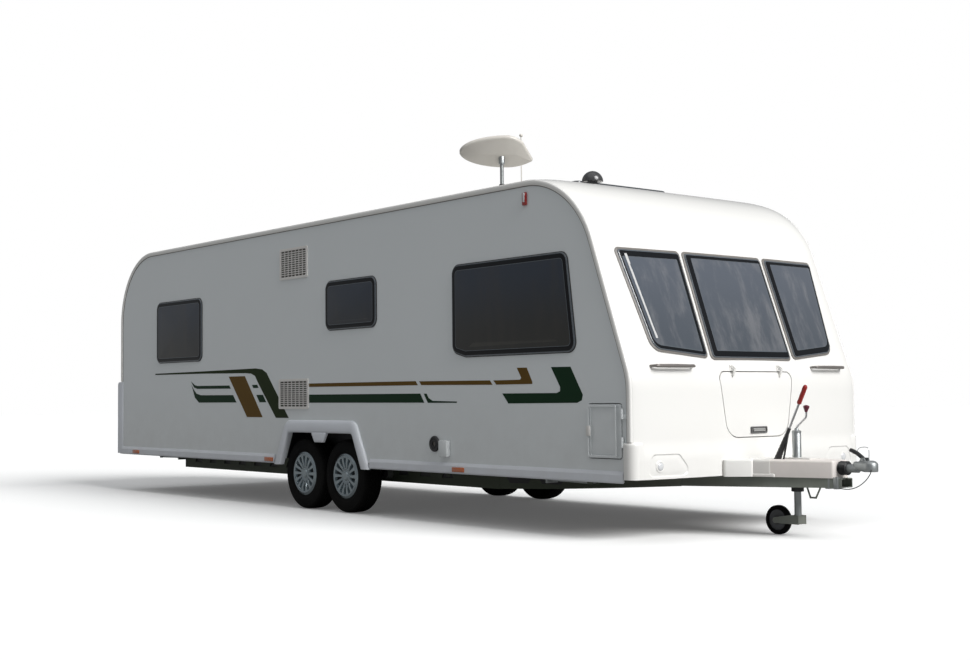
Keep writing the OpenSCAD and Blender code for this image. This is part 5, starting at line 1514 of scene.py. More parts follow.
# %% Rail steel with painted shade, and shade plates
SHADED_RAIL_STEEL = CHASSIS.copy()
SHADED_RAIL_STEEL.name = "rail_steel_painted_shade"
rail_tree = SHADED_RAIL_STEEL.node_tree
rail_shader = rail_tree.nodes["Principled BSDF"]
rail_paint = rail_shader.inputs["Base Color"].links[0].from_socket
rail_spot = node(rail_tree, "ShaderNodeTexCoord")
rail_part = node(rail_tree, "ShaderNodeSeparateXYZ")
# Painted shade: the steel is near black under the body and turns to its own colour towards the drawbar.
under_body_shade_mask = node(rail_tree, "ShaderNodeMapRange", From_Min=FRONT_X - 0.9, From_Max=FRONT_X + 0.1)
link(rail_tree, rail_spot.outputs["Object"], rail_part.inputs[0])
link(rail_tree, rail_part.outputs["X"], under_body_shade_mask.inputs["Value"])
rail_painted_shade = mix_colour(rail_tree, under_body_shade_mask.outputs[0], (0.075, 0.090, 0.062, 1), rail_paint)
link(rail_tree, rail_painted_shade, rail_shader.inputs["Base Color"])
rail_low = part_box("chassis_rail_right")[0]
RAIL_Y = abs(rail_low.y)
FLOOR_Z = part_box("floor_panel")[0].z
# Dark plates inside the rails: painted shade behind the rails' openings.
for side, word in SIDES:
    edges = sorted(side * (RAIL_Y - d) for d in (0.009, 0.013))
    shade_plate = block((rail_low.x + 0.01, edges[0], rail_low.z + 0.012),
                (FRONT_X - 1.80, edges[1], FLOOR_Z - 0.008), 0.001, 1)
    add_piece("rail_shade_plate_" + word, *shade_plate, [BLACK_PLASTIC], ROOT, "black_plastic", angle=50)
print("rails from", round(rail_low.x, 3), "floor at", round(FLOOR_Z, 3))

# %% [markdown]
# ## Webs of the drawbar's arms
# The arms bend in towards the coupling, so a web is drawn along an arm's outer face: a strip with a slanted
# lower edge and two openings, which are dark plates here: painted shade for the dark seen through them.

# %% Webs
ARM_FROM = FRONT_X - 1.84
ARM_BEND = FRONT_X - 1.738
ARM_FACE = RAIL_Y - 0.0063
ARM_SLOPE = (ARM_FACE - 0.060) / (FRONT_X + 0.815 - ARM_BEND)


def on_arm(x, z, d):
    """A place on an arm's outer face; the arms bend in towards the coupling."""
    return Vector((x, ARM_FACE - ARM_SLOPE * max(0.0, x - ARM_BEND) + d, z))


web_low = [(ARM_FROM, 0.258), (ARM_BEND, 0.258), (2.10, 0.272), (2.60, 0.296), (3.05, 0.322)]
WEB_TOP = 0.372
WEB_IN = 0.0004
WEB_OUT = 0.005
opening = [(-0.11, 0.352), (0.11, 0.352), (0.08, 0.305), (-0.08, 0.305)]
OPENING_X = (1.74, 2.02)


def web_opening_shade(at, mirror):
    """A dark plate in a web, at a place along the arm: painted shade where the opening is."""
    return prism(opening, lambda p: on_arm(at + p.x, p.y, WEB_OUT - 0.0005) * mirror,
                 lambda p: on_arm(at + p.x, p.y, WEB_OUT + 0.0006) * mirror)


for side, word in SIDES:
    mirror = Vector((1, side, 1))
    points = []
    for x, low in web_low:
        section = ((low, WEB_IN), (low, WEB_OUT), (WEB_TOP, WEB_OUT), (WEB_TOP, WEB_IN))
        points += [on_arm(x, z, d) * mirror for z, d in section]
    last = len(points) - 4
    faces = ring_faces(len(web_low), 4) + [(0, 1, 2, 3), (last + 3, last + 2, last + 1, last)]
    parts = [((points, faces), SHADED_RAIL_STEEL)]
    parts += [(web_opening_shade(at, mirror), BLACK_PLASTIC) for at in OPENING_X]
    assembly("arm_web_" + word, parts, ROOT, "chassis_steel", 40)
print("webs from", round(ARM_FROM, 3), "to", web_low[-1][0])

# %% [markdown]
# ## Drawbar cover
# A grey tray covers the overrun gear. Its rear part is a paler fairing against the body, and a thin plate
# lies on top round the jockey wheel's tube.

# %% Drawbar cover
cover_low, cover_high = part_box("drawbar_cover")
COVER_REAR_Y = 0.300
COVER_TIP_Y = 0.082
PALE_TO = 0.255
FAIRING_TO = 0.140


def cover_half(x):
    """Half the cover's width at a place along it."""
    return COVER_REAR_Y + (COVER_TIP_Y - COVER_REAR_Y) * (x - cover_low.x) / (cover_high.x - cover_low.x)


def cover_plan(x0, x1, out=0.0):
    """The cover's plan between two places along it."""
    return [(x0, -cover_half(x0) - out), (x1, -cover_half(x1) - out), (x1, cover_half(x1) + out),
            (x0, cover_half(x0) + out)]


def at_height(u, v, d):
    return Vector((u, v, d))


def tray(plan, radius, low, top):
    """A tray upside down, with a rounded lip."""
    lip = [(0.0, low), (0.0, top - 0.016), (0.0015, top - 0.010), (0.005, top - 0.005),
           (0.010, top - 0.0015), (0.016, top)]
    return loft([(pull_in(plan, i), max(0.004, radius - i), z) for i, z in lip], at_height)


box_plan = cover_plan(cover_low.x + PALE_TO - 0.030, cover_high.x)
pale_plan = cover_plan(cover_low.x + 0.05, cover_low.x + PALE_TO, 0.003)
foot_plan = cover_plan(cover_low.x, cover_low.x + PALE_TO + 0.03, 0.008)
fairing_plan = [(cover_low.x - 0.010, -0.430), (cover_low.x + FAIRING_TO, -0.268),
                (cover_low.x + FAIRING_TO, 0.268), (cover_low.x - 0.010, 0.430)]
plate_plan = [(FRONT_X + 0.345, -0.075), (FRONT_X + 0.565, -0.060), (FRONT_X + 0.565, 0.060),
              (FRONT_X + 0.345, 0.075)]
assembly("drawbar_tray", [
    (tray(box_plan, 0.020, cover_low.z, cover_high.z), GREY_PLASTIC),
    (tray(pale_plan, 0.012, cover_low.z, cover_high.z - 0.001), PALE_PLASTIC),
    (tray(foot_plan, 0.012, cover_low.z, cover_low.z + 0.026), PALE_PLASTIC),
    (tray(fairing_plan, 0.020, cover_low.z, cover_high.z + 0.002), MOULDING_WHITE),
    (loft([(plate_plan, 0.012, cover_high.z - 0.002), (plate_plan, 0.012, cover_high.z + 0.006),
           (pull_in(plate_plan, 0.003), 0.010, cover_high.z + 0.008)], at_height), PALE_PLASTIC),
], ROOT, "trim_grey", 45, ["drawbar_cover"])
print("cover", round(cover_high.x - cover_low.x, 3), "m long")

# %% [markdown]
# ## Handbrake
# A steel lever comes out of a black gaiter and ends in a red grip. A thin strut holds it from the front.

# %% Handbrake
brake_low, brake_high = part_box("handbrake_lever")
brake_y = (brake_low.y + brake_high.y) / 2
BRAKE_FOOT = Vector((FRONT_X + 0.306, brake_y, 0.440))
BRAKE_TOP = Vector((FRONT_X + 0.586, brake_y, 1.000))


def on_brake(share):
    """A place along the lever."""
    return BRAKE_FOOT + (BRAKE_TOP - BRAKE_FOOT) * share


def along_brake(shares, radii, sides=20):
    return tube_mesh([on_brake(s) for s in shares], radii, sides)


gaiter_at = [0.13 + 0.34 * i / 16 for i in range(17)]
gaiter_r = [0.0250 - 0.0120 * i / 16 - (0.0016 if i % 2 else 0) for i in range(17)]
grip_at = [0.805, 0.812, 0.825, 0.86, 0.90, 0.94, 0.97, 0.99, 1.005, 1.018, 1.026, 1.030]
grip_r = [0.010, 0.0145, 0.0155, 0.0150, 0.0158, 0.0155, 0.0160, 0.0160, 0.0150, 0.0120, 0.0075, 0.0020]
strut_foot = BRAKE_FOOT + Vector((0.072, 0, 0))
strut_top = on_brake(0.50)
brake_box = block((BRAKE_FOOT.x - 0.040, brake_y - 0.018, brake_low.z),
                  (BRAKE_FOOT.x + 0.050, brake_y + 0.018, BRAKE_FOOT.z + 0.010))
strut = tube_mesh([strut_foot, strut_foot.lerp(strut_top, 0.5), strut_top], [0.007, 0.0065, 0.006], 14)
assembly("handbrake", [
    (brake_box, CHASSIS),
    (along_brake([0.0, 0.2, 0.5, 0.815], 0.0085), BRIGHT_STEEL),
    (along_brake(gaiter_at, gaiter_r), BLACK_PLASTIC),
    (along_brake(grip_at, grip_r, 28), GRIP_RED),
    (strut, BLACK_PLASTIC),
    (tube_mesh([on_brake(0.470), on_brake(0.515)], 0.0125, 16), BLACK_PLASTIC),
], ROOT, "black_plastic", 40, ["handbrake_lever"])
print("handbrake top at", round(BRAKE_TOP.z, 3))

# %% [markdown]
# ## Jockey wheel
# A galvanised tube with a clamp collar holds the stem. On top a cranked rod with a red knob winds it. The
# wheel has a plastic hub and a solid rubber tyre.

# %% Jockey wheel
tube_low, tube_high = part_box("jockey_tube")
JOCKEY_X = (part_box("jockey_stem")[0].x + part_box("jockey_stem")[1].x) / 2
TUBE_TOP = tube_high.z - 0.186
TUBE_L = TUBE_TOP - tube_low.z
tube_profile = [(0.0243, 0.0), (0.0300, 0.0), (0.0300, TUBE_L - 0.004), (0.0275, TUBE_L), (0.0, TUBE_L)]
collar_profile = [(0.0295, 0.0), (0.040, 0.0), (0.042, 0.003), (0.042, 0.037), (0.040, 0.040),
                  (0.0295, 0.040)]
cap_profile = [(0.0, -0.002), (0.0315, -0.002), (0.0315, 0.010), (0.028, 0.014), (0.016, 0.016),
               (0.013, 0.030), (0.0, 0.030)]
crank_places = [(0.0, -0.002), (0.0, 0.022), (0.008, 0.042), (0.042, 0.071), (0.076, 0.100), (0.083, 0.116),
                (0.084, 0.146)]
crank_route = smooth_route([(JOCKEY_X + out, 0, TUBE_TOP + up) for out, up in crank_places])
knob_route = [(JOCKEY_X + 0.083 + 0.0004 * i, 0, TUBE_TOP + 0.139 + 0.0047 * i) for i in range(11)]
knob_r = [0.009, 0.0105, 0.012, 0.0135, 0.0155, 0.0175, 0.0195, 0.021, 0.0215, 0.020, 0.009]
centre_low = (JOCKEY_X, 0, tube_low.z)
assembly("jockey_post", [
    (lathe(tube_profile, 40, centre_low, (0, 0, 1)), GALVANISED),
    (lathe(collar_profile, 40, centre_low, (0, 0, 1)), BLACK_PLASTIC),
    (lathe(cap_profile, 32, (JOCKEY_X, 0, TUBE_TOP), (0, 0, 1)), GALVANISED),
    (tube_mesh(crank_route, 0.0075, 14), BRIGHT_STEEL),
    (tube_mesh(knob_route, knob_r, 24), KNOB_RED),
], ROOT, "galvanised", 40, ["jockey_tube"])
wheel_low, wheel_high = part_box("jockey_wheel")
jockey_centre = (wheel_low + wheel_high) / 2
JOCKEY_R = (wheel_high.z - wheel_low.z) / 2
jw = (wheel_high.y - wheel_low.y) / 2
hub_half = [(0.009, jw), (0.022, jw), (0.024, jw - 0.002), (0.026, jw - 0.014), (0.050, jw - 0.014),
            (JOCKEY_R - 0.033, jw - 0.010), (JOCKEY_R - 0.028, jw - 0.012)]
hub_profile = [(r, -a) for r, a in hub_half] + hub_half[::-1]
tread_side = [(JOCKEY_R - 0.0285, jw - 0.010), (JOCKEY_R - 0.024, jw - 0.003), (JOCKEY_R - 0.014, jw),
              (JOCKEY_R - 0.006, jw - 0.003), (JOCKEY_R - 0.001, jw - 0.011)]
solid_profile = [(r, -a) for r, a in tread_side] + [(JOCKEY_R, 0.0)] + tread_side[::-1]
assembly("jockey_roller_tyre", [
    (lathe(hub_profile, 48, jockey_centre, (0, 1, 0)), SMOKED),
    (lathe(solid_profile, 72, jockey_centre, (0, 1, 0)), RUBBER),
], "jockey_roller", "black_plastic", 40, ["jockey_wheel"])
print("jockey wheel of radius", round(JOCKEY_R, 3))

# %% [markdown]
# ## Coupling
# A cast head with its ball socket, two cheeks and a pin, a black hand lever, and a thin wire bail. Clamps
# hold the drawbar's tips.

# %% Coupling
HEAD_Z = 0.492
SHAFT_Z = 0.470
BALL_BACK = 0.048
NECK_BACK = 0.150
cast_discs = [(BALL_BACK, 0.046, -0.040), (BALL_BACK, 0.048, -0.034), (BALL_BACK, 0.048, 0.008),
              (BALL_BACK, 0.044, 0.017), (BALL_BACK, 0.034, 0.027), (BALL_BACK, 0.020, 0.032),
              (NECK_BACK, 0.024, -0.024), (NECK_BACK, 0.026, -0.018), (NECK_BACK, 0.026, 0.014),
              (NECK_BACK, 0.020, 0.022)]
cast = [p for back, r, up in cast_discs for p in disc(TIP_X - back, r, HEAD_Z + up)]


def head_route(places):
    """Places back from the coupling's tip and up from its head, on the middle line."""
    return [(TIP_X - back, 0, HEAD_Z + up) for back, up in places]


def cheek(y):
    """One of the two plates that carry the hand lever's pin."""
    corners = [(TIP_X - 0.130, HEAD_Z), (TIP_X - 0.060, HEAD_Z), (TIP_X - 0.078, HEAD_Z + 0.050),
               (TIP_X - 0.104, HEAD_Z + 0.050)]
    return prism_across(round_loop(corners, 0.008, 4), y - 0.004, y + 0.004)


hand_lever = head_route([(0.084, 0.030), (0.105, 0.046), (0.130, 0.064), (0.156, 0.080), (0.182, 0.091),
                         (0.205, 0.098)])
lever_r = [0.012] * 5 + [0.0135] * 16 + [0.0125] * 4 + [0.008]
wire_bail = head_route([(0.150, 0.090), (0.130, 0.112), (0.085, 0.118), (0.062, 0.110), (0.058, 0.080),
                        (0.060, 0.030)])
shaft = [(TIP_X - back, 0, SHAFT_Z) for back in (0.216, 0.206, 0.140)]
pin_ends = [(TIP_X - 0.092, y, HEAD_Z + 0.036) for y in (-0.030, 0.030)]
ARM_TIP_Y = -0.060
clamps = []
for x in (TIP_X - 0.345, TIP_X - 0.285):
    clamp_y = ARM_TIP_Y - 0.014 - 0.10 * (TIP_X - 0.234 - x)
    clamps.append((block((x, clamp_y, 0.334), (x + 0.034, ARM_TIP_Y + 0.020, 0.412)), GALVANISED))
assembly("coupling", [
    (wrapped(cast), GALVANISED),
    (tube_mesh(shaft, [0.030, 0.028, 0.028], 28), GALVANISED),
    (cheek(-0.022), GALVANISED),
    (cheek(0.022), GALVANISED),
    (tube_mesh(pin_ends, 0.007, 14), BRIGHT_STEEL),
    (tube_mesh(smooth_route(hand_lever), lever_r, 18), BLACK_PLASTIC),
    (tube_mesh(smooth_route(wire_bail), 0.0022, 8), BRIGHT_STEEL),
] + clamps, ROOT, "galvanised", 35, ["coupling_head"])
print("coupling tip at", round(TIP_X, 3))

# %% [markdown]
# ## Grab handles
# Each handle is a bar that swells in the middle and bends back to the skin at both ends.

# %% Grab handles
HANDLE_BRONZE = finish("handle_bronze", (0.25, 0.23, 0.215), rough=0.34, metal=0.5, scale=18)
GRAB_Y = HALF_W - 0.360
GRAB_HALF = 0.170
GRAB_OUT = 0.046


def nose_at(y, z):
    """The front's outer face at a width and a height."""
    f = y / HALF_W
    line = [(x + stand(a, f) * math.cos(a), s + stand(a, f) * math.sin(a)) for a, x, s in front_line]
    for (x0, z0), (x1, z1) in zip(line, line[1:]):
        if z0 <= z <= z1:
            return x0 + (x1 - x0) * (z - z0) / (z1 - z0)
    return FRONT_X


def tail_at(y, z):
    """The rear's outer face at a width."""
    return REAR_X - stand(math.pi, y / HALF_W)


foot_to_middle = [(-1.09, -0.006, 0.0075), (-1.07, 0.35, 0.0085), (-1.02, 0.78, 0.0100),
                  (-0.92, 0.98, 0.0115), (-0.5, 1.0, 0.0120)]
bar = foot_to_middle + [(0.0, 1.0, 0.0125)] + [(-share, out, r) for share, out, r in foot_to_middle[::-1]]


def handle(face, outward, side, z):
    """A handle on a face, from its inner to its outer foot."""
    route, radii = [], []
    for share, out, r in bar:
        y = side * (GRAB_Y + share * GRAB_HALF)
        route.append((face(y, z) + outward * GRAB_OUT * out, y, z))
        radii.append(r)
    fine = smooth_route(route, 4)
    return tube_mesh(fine, [radii[min(len(radii) - 1, i // 4)] for i in range(len(fine))], 16)


handles = [handle(nose_at, 1, side, 1.150) for side in (RIGHT, LEFT)]
handles += [handle(tail_at, -1, side, 1.215) for side in (RIGHT, LEFT)]
assembly("handles", [(h, HANDLE_BRONZE) for h in handles], ROOT, "trim_grey", 50, ["grab_handles"])
print("handles:", len(handles))

# %% [markdown]
# ## Hinges
# Door and service door hang on knuckle hinges. Two slim brackets hold the pins of the gas locker's lid.

# %% Hinges
KNUCKLE_R = 0.010
KNUCKLE_L = 0.034
LEAF_L = 0.034
LEAF_T = 0.008
BRACKET_HALF = 0.0025
DOOR_LOW = 0.470
DOOR_TOP = EAVES_Z - 0.273
door_heights = (DOOR_LOW + 0.180, (DOOR_LOW + DOOR_TOP) / 2, DOOR_TOP - 0.180)
hatch_heights = (0.651, 0.838)
knuckle = [(0.0, -KNUCKLE_L), (0.009, -KNUCKLE_L), (KNUCKLE_R, -KNUCKLE_L + 0.001), (KNUCKLE_R, 0.0),
           (0.0, 0.0)]
hinge_parts = []
for pin, side, heights in ((joint_at("door_swing"), LEFT, door_heights),
                           (joint_at("hatch_swing"), RIGHT, hatch_heights)):
    for z in heights:
        leaf = side_block(side, (pin.x, pin.x + LEAF_L), (0.0, LEAF_T), (z - KNUCKLE_L, z), 0.002)
        hinge_parts.append((lathe(knuckle, 24, (pin.x, pin.y, z), (0, 0, 1)), WALL_WHITE))
        hinge_parts.append((leaf, WALL_WHITE))
for y in ARMS_Y:
    top_x = nose_at(y, lid_pin.z + 0.030)
    bracket = [(top_x - 0.010, lid_pin.z + 0.040), (lid_pin.x - PIN_HOUSE, lid_pin.z - 0.004),
               (lid_pin.x + 0.006, lid_pin.z - 0.006), (lid_pin.x + PIN_HOUSE, lid_pin.z + 0.006)]
    for d in (-ARM_HALF - 0.004, ARM_HALF + 0.004):
        plate = prism_across(bracket, y + d - BRACKET_HALF, y + d + BRACKET_HALF)
        hinge_parts.append((plate, MOULDING_WHITE))
    ends = [(lid_pin.x, y + d, lid_pin.z) for d in (-ARM_HALF - 0.007, ARM_HALF + 0.007)]
    hinge_parts.append((tube_mesh(ends, 0.004, 12), BRIGHT_STEEL))
assembly("hinges", hinge_parts, ROOT, "trim_grey", 40, ["hinge_brackets"])
print("hinges:", len(hinge_parts), "parts")

# %% [markdown]
# ## Roof fittings
# Rooflights sit on pale frames. A dark dome vents the roof near the front, and rubber glands seal the
# aerial's mast and the foot of the whip.


# %% Roof fittings
def on_roof(u, v, d):
    """Lays an outline of [x, y] on the roof, at a height over it."""
    return Vector((u, v, EAVES_Z + stand(UPRIGHT, v / HALF_W) + d))


frame_section = [(0.0, 0.045, 0.0003), (0.0, 0.045, 0.022), (0.004, 0.042, 0.024)]
lens_section = [(0.004, 0.041, 0.011), (0.004, 0.041, 0.075), (0.008, 0.038, 0.081), (0.018, 0.030, 0.0845),
                (0.060, 0.010, 0.085)]
lights_parts = []
for at, length, width in roof_lights:
    plan = plan_corners(at, length, width)
    for section, material in ((frame_section, PALE_PLASTIC), (lens_section, SMOKED)):
        rings = [(pull_in(plan, inset), r, d) for inset, r, d in section]
        lights_parts.append((loft(rings, on_roof), material))
assembly("rooflight_domes", lights_parts, ROOT, "tinted_glass", 40, ["rooflights"])
DOME_X = FRONT_X - 1.065
DOME_Y = -HALF_W + 0.717
DOME_R = 0.080
DOME_Z = 0.054
dome_foot = on_roof(DOME_X, DOME_Y, 0)
dome_profile = [(0.0, 0.002), (0.066, 0.002), (0.062, 0.008), (0.040, 0.012), (0.040, 0.052), (0.072, 0.052)]
dome_turns = [UPRIGHT * i / 16 for i in range(16)]
dome_profile += [(DOME_R * math.cos(t), DOME_Z + DOME_R * math.sin(t)) for t in dome_turns]
dome_profile.append((0.0, DOME_Z + DOME_R))
mast_low, mast_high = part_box("aerial_mast")
mast_at = (mast_low + mast_high) / 2
gland_foot = on_roof(mast_at.x, mast_at.y, 0)
gland_profile = [(0.0145, -0.004), (0.046, -0.004), (0.045, 0.018), (0.036, 0.034), (0.024, 0.046),
                 (0.020, 0.062), (0.0145, 0.062)]
whip_low, whip_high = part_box("whip_aerial")
whip_at = (whip_low + whip_high) / 2
whip_foot = on_roof(whip_at.x, whip_at.y, 0)
whip_profile = [(0.0, -0.004), (0.030, -0.004), (0.028, 0.006), (0.021, 0.016), (0.019, 0.030), (0.0, 0.030)]
DOME_DARK = finish("dome_dark", (0.045, 0.046, 0.048), rough=0.24, scale=20, coat=0.4)
assembly("roof_dome", [
    (lathe(dome_profile, 56, dome_foot, (0, 0, 1)), DOME_DARK),
    (lathe(gland_profile, 32, gland_foot, (0, 0, 1)), BLACK_PLASTIC),
    (lathe(whip_profile, 24, whip_foot, (0, 0, 1)), BLACK_PLASTIC),
], ROOT, "black_plastic", 40, ["roof_vent"])
print("rooflights:", len(roof_lights))

# %% [markdown]
# ## Aerial
# The aerial's shell is the smooth skin round rows of balls, as in the construction. Points all over the balls
# are wrapped, and only the outermost ones are kept.

# %% Aerial head
HEAD_TURN = math.radians(51)
HEAD_TILT = math.radians(-42)
HEAD_UP = 0.095
LEAF_HALF = 0.128
WIDEST = 0.04
NOSE_L = 0.34
TAIL_L = 0.14
TAIL_SLANT = 0.20
LEAF_EDGE_R = 0.020


def leaf_half(u):
    """Half the shell's width, from its nose at the left to its cut tail."""
    if u < WIDEST:
        return LEAF_HALF * (1 - ((WIDEST - u) / NOSE_L) ** 2) ** 0.55
    return LEAF_HALF - 0.052 * ((u - WIDEST) / TAIL_L) ** 2


leaf_places = [-0.298 + 0.478 * (1 - math.cos(math.pi * i / 28)) / 2 for i in range(29)]
head_balls = [((u + side * TAIL_SLANT * max(0.0, u), side * leaf_half(u), 0), LEAF_EDGE_R)
              for u in leaf_places for side in (RIGHT, LEFT)]
head_balls += [((u, 0, 0), 0.044 - 0.30 * (u + 0.02) ** 2) for u in (-0.14, -0.08, -0.02, 0.04, 0.10)]
head_foot = Vector((mast_at.x, mast_at.y, mast_high.z + 0.0003))
head_turned = Matrix.Rotation(HEAD_TURN, 4, "Z") @ Matrix.Rotation(HEAD_TILT, 4, "X")
head_place = Matrix.Translation(head_foot + Vector((0, 0, HEAD_UP))) @ head_turned
cloud = []
for centre, r in head_balls:
    for i in range(1, 16):
        for k in range(24):
            up = math.pi * i / 16
            turn = 2 * math.pi * k / 24
            out = Vector((math.sin(up) * math.cos(turn), math.sin(up) * math.sin(turn), math.cos(up)))
            cloud.append(Vector(centre) + r * out)
shell_points, shell_faces = wrapped(cloud)
boss_profile = [(0.0, 0.0), (0.024, 0.0), (0.024, 0.052), (0.020, 0.060), (0.0, 0.060)]
assembly("aerial_shell", [
    (([head_place @ p for p in shell_points], shell_faces), AERIAL_WHITE),
    (lathe(boss_profile, 32, head_foot, (0, 0, 1)), GALVANISED),
], "aerial", "aerial_white", 30, ["aerial_head"])
print("aerial shell:", len(shell_faces), "faces")

# %% [markdown]
# ## Side fittings
# A round water inlet and a pale mains box sit low on the right. The inlet is turned, and the box is a block
# with cut edges.

# %% Side fittings
INLET = Vector((FRONT_X - 2.083, -HALF_W, 0.603))
SOCKET_X = FRONT_X - 1.943
SOCKET_HALF = 0.052
SOCKET_Z = (0.5065, 0.6335)
inlet_profile = [(0.020, 0.0), (0.060, 0.0), (0.060, 0.010), (0.056, 0.015), (0.044, 0.016), (0.041, 0.011),
                 (0.030, 0.011), (0.027, 0.015), (0.020, 0.015)]
well_profile = [(0.0, 0.0), (0.021, 0.0), (0.021, 0.004), (0.0, 0.004)]
socket_span = (SOCKET_X - SOCKET_HALF, SOCKET_X + SOCKET_HALF)
assembly("inlet_and_socket", [
    (lathe(inlet_profile, 48, INLET, (0, -1, 0)), BLACK_PLASTIC),
    (lathe(well_profile, 24, INLET, (0, -1, 0)), SEAL_GREY),
    (side_block(RIGHT, socket_span, (0.0, 0.040), SOCKET_Z, 0.010), WALL_WHITE),
], ROOT, "black_plastic", 40, ["side_fittings"])
print("inlet at", round(INLET.x, 3), "socket at", round(SOCKET_X, 3))

# %% [markdown]
# ## Lamps
# Orange markers run along the skirt, small outline lamps sit under the roof's edge, and a round lamp with a
# clear lens sits in each panel of the lower front.

# %% Lamps
MARKER_HALF = 0.070
MARKER_OUT = (0.014, 0.027)
MARKER_Z = (0.399, 0.435)
marker_parts = []
for at in (station(0.380), AXLE_X - 0.837, FRONT_X - 1.777):
    for side in (RIGHT, LEFT):
        marker = side_block(side, (at - MARKER_HALF, at + MARKER_HALF), MARKER_OUT, MARKER_Z, 0.005)
        marker_parts.append((marker, LAMP_ORANGE))
assembly("marker_lenses", marker_parts, ROOT, "lamp_orange", 40, ["side_markers"])
OUTLINE_X = FRONT_X - 1.002
LAMP_Y = 0.970
LAMP_Z = 0.492
outline_lamp = [(0.022, (0.0, 0.017), (0.158, 0.063), 0.007, LAMP_RED),
                (0.009, (0.008, 0.021), (0.134, 0.066), 0.004, LAMP_CLEAR)]
BEZEL_Z = VALANCE_T - 0.003
bezel = [(0.0, 0.0), (0.0415, 0.0), (0.0415, BEZEL_Z), (0.037, VALANCE_T), (0.029, VALANCE_T),
         (0.027, BEZEL_Z), (0.0, BEZEL_Z)]
lens = [(0.0, 0.004), (0.0265, 0.004), (0.026, VALANCE_T), (0.020, VALANCE_T + 0.004),
        (0.010, VALANCE_T + 0.006), (0.0, VALANCE_T + 0.0065)]
lamp_parts = []
for side in (RIGHT, LEFT):
    for half, out, drops, bevel, material in outline_lamp:
        heights = [EAVES_Z - drop for drop in drops]
        lamp = side_block(side, (OUTLINE_X - half, OUTLINE_X + half), out, heights, bevel)
        lamp_parts.append((lamp, material))
    seat = on_front(side * LAMP_Y, LAMP_Z, 0.0)
    lamp_parts.append((lathe(bezel, 40, seat, (1, 0, 0)), MOULDING_WHITE))
    lamp_parts.append((lathe(lens, 40, seat, (1, 0, 0)), LAMP_CLEAR))
assembly("lamps_front_and_outline", lamp_parts, ROOT, "lamp_clear", 40, ["position_lamps"])
print("lamps:", len(lamp_parts) + len(marker_parts), "parts")

# %% [markdown]
# ## Rim of the service door
# The service door has a low raised rim and a latch. The rim is a ring of four outlines, closed at the back,
# and keeps clear of the hinges so that the door can swing.

# %% Rim of the service door
HINGE_ROOM = 0.050
HATCH_R = 0.012
LATCH_HALF = 0.034
hatch_low, hatch_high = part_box("service_door")
hatch_corners = [(hatch_low.x, hatch_low.z), (hatch_high.x, hatch_low.z), (hatch_high.x, hatch_high.z),
                 (hatch_low.x, hatch_high.z)]
hatch_out = -hatch_low.y - HALF_W
rim_section = [(0.005, 0.0003), (0.006, 0.0025), (0.017, 0.0025), (0.019, 0.0003)]
rim_points = []
for inset, d in rim_section:
    rim = round_loop(pull_in(hatch_corners, (inset, inset + HINGE_ROOM, inset, inset)), HATCH_R, 4)
    rim_points += [on_side(RIGHT)(p.x, p.y, hatch_out + d) for p in rim]
count = len(rim_points) // len(rim_section)
back = len(rim_points) - count
rim_faces = ring_faces(len(rim_section), count)
rim_faces += [(back + k, back + (k + 1) % count, (k + 1) % count, k) for k in range(count)]
latch_z = (hatch_low.z + hatch_high.z) / 2
latch_block = block((hatch_low.x + 0.006, hatch_low.y - 0.016, latch_z - LATCH_HALF),
                    (hatch_low.x + 0.040, hatch_low.y + 0.001, latch_z + LATCH_HALF), 0.006)
assembly("hatch_rim", [
    ((rim_points, rim_faces), WALL_WHITE),
    (latch_block, PALE_PLASTIC),
], "hatch", "body_white", 40)
print("rim of", count, "points round")

# %% [markdown]
# ## Vents, door handle and rear lamps
# Dark mesh lies behind the two fridge vents. The entrance door has a black handle, and each rear lamp is a
# domed lens on a grey ring.

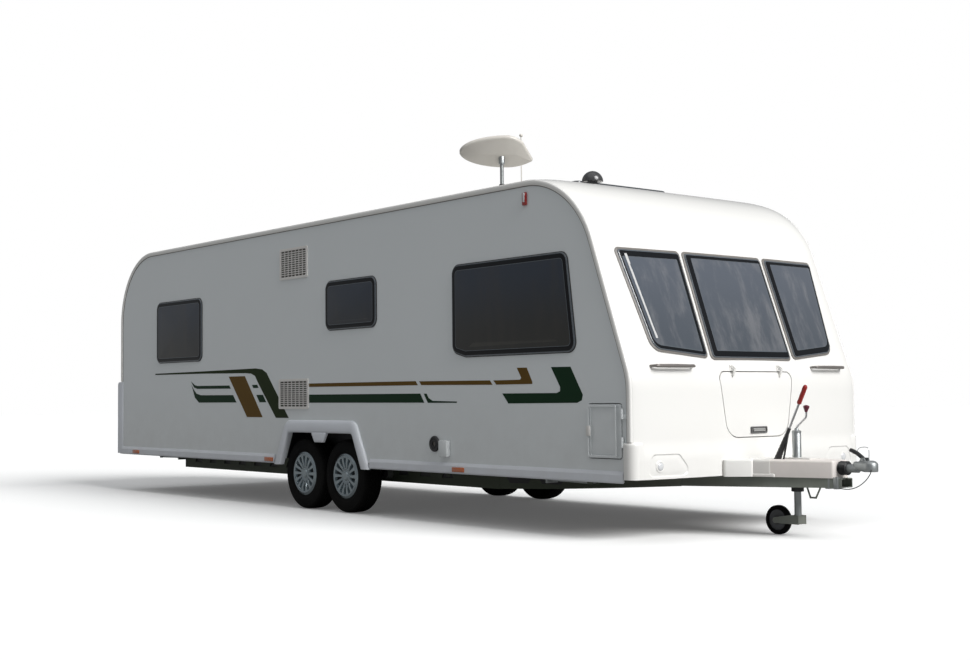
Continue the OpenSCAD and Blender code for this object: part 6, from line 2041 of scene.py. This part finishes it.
# %% Vents, door handle and rear lamps
VENT_BACK = finish("vent_mesh", (0.115, 0.105, 0.095), rough=0.7, scale=30)
VENT_FRAME = 0.019
vents = [(AXLE_X - 0.658, 0.459, 2.010, 0.275), (AXLE_X - 0.679, 0.490, 0.866, 0.264)]
backs = []
for x0, length, low, height in vents:
    along = (x0 + VENT_FRAME, x0 + length - VENT_FRAME)
    up = (low + VENT_FRAME, low + height - VENT_FRAME)
    backs.append((side_block(RIGHT, along, (-0.006, -0.002), up, 0.001), VENT_BACK))
assembly("vent_backs", backs, ROOT, "black_plastic")
plate_span = (DOOR_FROM + 0.034, DOOR_FROM + 0.082)
pull_span = (DOOR_FROM + 0.040, DOOR_FROM + 0.075)
handle_plate = side_block(LEFT, plate_span, (0.0005, 0.012), (1.118, 1.300), 0.005)
handle_pull = side_block(LEFT, pull_span, (0.010, 0.026), (1.130, 1.200), 0.006)
assembly("door_handle", [(handle_plate, BLACK_PLASTIC), (handle_pull, BLACK_PLASTIC)], "door",
         "black_plastic")
REAR_LAMP_IN = 0.125
rear_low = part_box("rear_lamps")[0]
ring = [(0.036, 0.024), (0.048, 0.024), (0.048, 0.003), (0.044, 0.0), (0.038, 0.001), (0.036, 0.006)]
dome = [(0.0, 0.024), (0.037, 0.024), (0.037, 0.005), (0.028, 0.0015), (0.014, 0.0002), (0.0, 0.0)]
rear_parts = []
for z, lens_finish in ((0.800, LAMP_RED), (0.920, LAMP_ORANGE), (1.040, LAMP_RED)):
    for side in (RIGHT, LEFT):
        centre = (rear_low.x, side * (HALF_W - REAR_LAMP_IN), z)
        rear_parts.append((lathe(ring, 40, centre, (1, 0, 0)), GREY_PLASTIC))
        rear_parts.append((lathe(dome, 40, centre, (1, 0, 0)), lens_finish))
assembly("tail_lamps", rear_parts, ROOT, "lamp_red", 40, ["rear_lamps"])
print("vents, handle and", len(rear_parts) // 2, "rear lamps")

# %% [markdown]
# ## Finishes for the pieces that stay
# The other pieces keep their shape from the construction, and only take their finish here.

# %% Finishes for the other pieces
finishes_for = {
    PLYWOOD: ["floor_panel"],
    SHADED_RAIL_STEEL: ["chassis_rail_right", "chassis_rail_left", "cross_members"],
    CHASSIS: ["overrun_unit", "jockey_fork"],
    GALVANISED: ["axles", "jockey_stem", "aerial_mast", "steady_front_right", "steady_front_left",
                 "steady_rear_right", "steady_rear_left"],
    WALL_WHITE: ["side_wall_right", "side_wall_left", "entrance_door", "service_door"],
    MOULDING_WHITE: ["rear_bumper", "gas_locker_box"],
    TRIM_WHITE: ["skirt_rails"],
    VENT_PLASTIC: ["fridge_vents"],
    BLACK_PLASTIC: ["wheel_boxes", "overrun_bellows"],
    AERIAL_WHITE: ["whip_aerial"],
}
for material, names in finishes_for.items():
    for name in names:
        held = frame["nodes"][name].data.materials
        held.clear()
        held.append(material)
print("finished:", sum(len(v) for v in finishes_for.values()), "pieces")
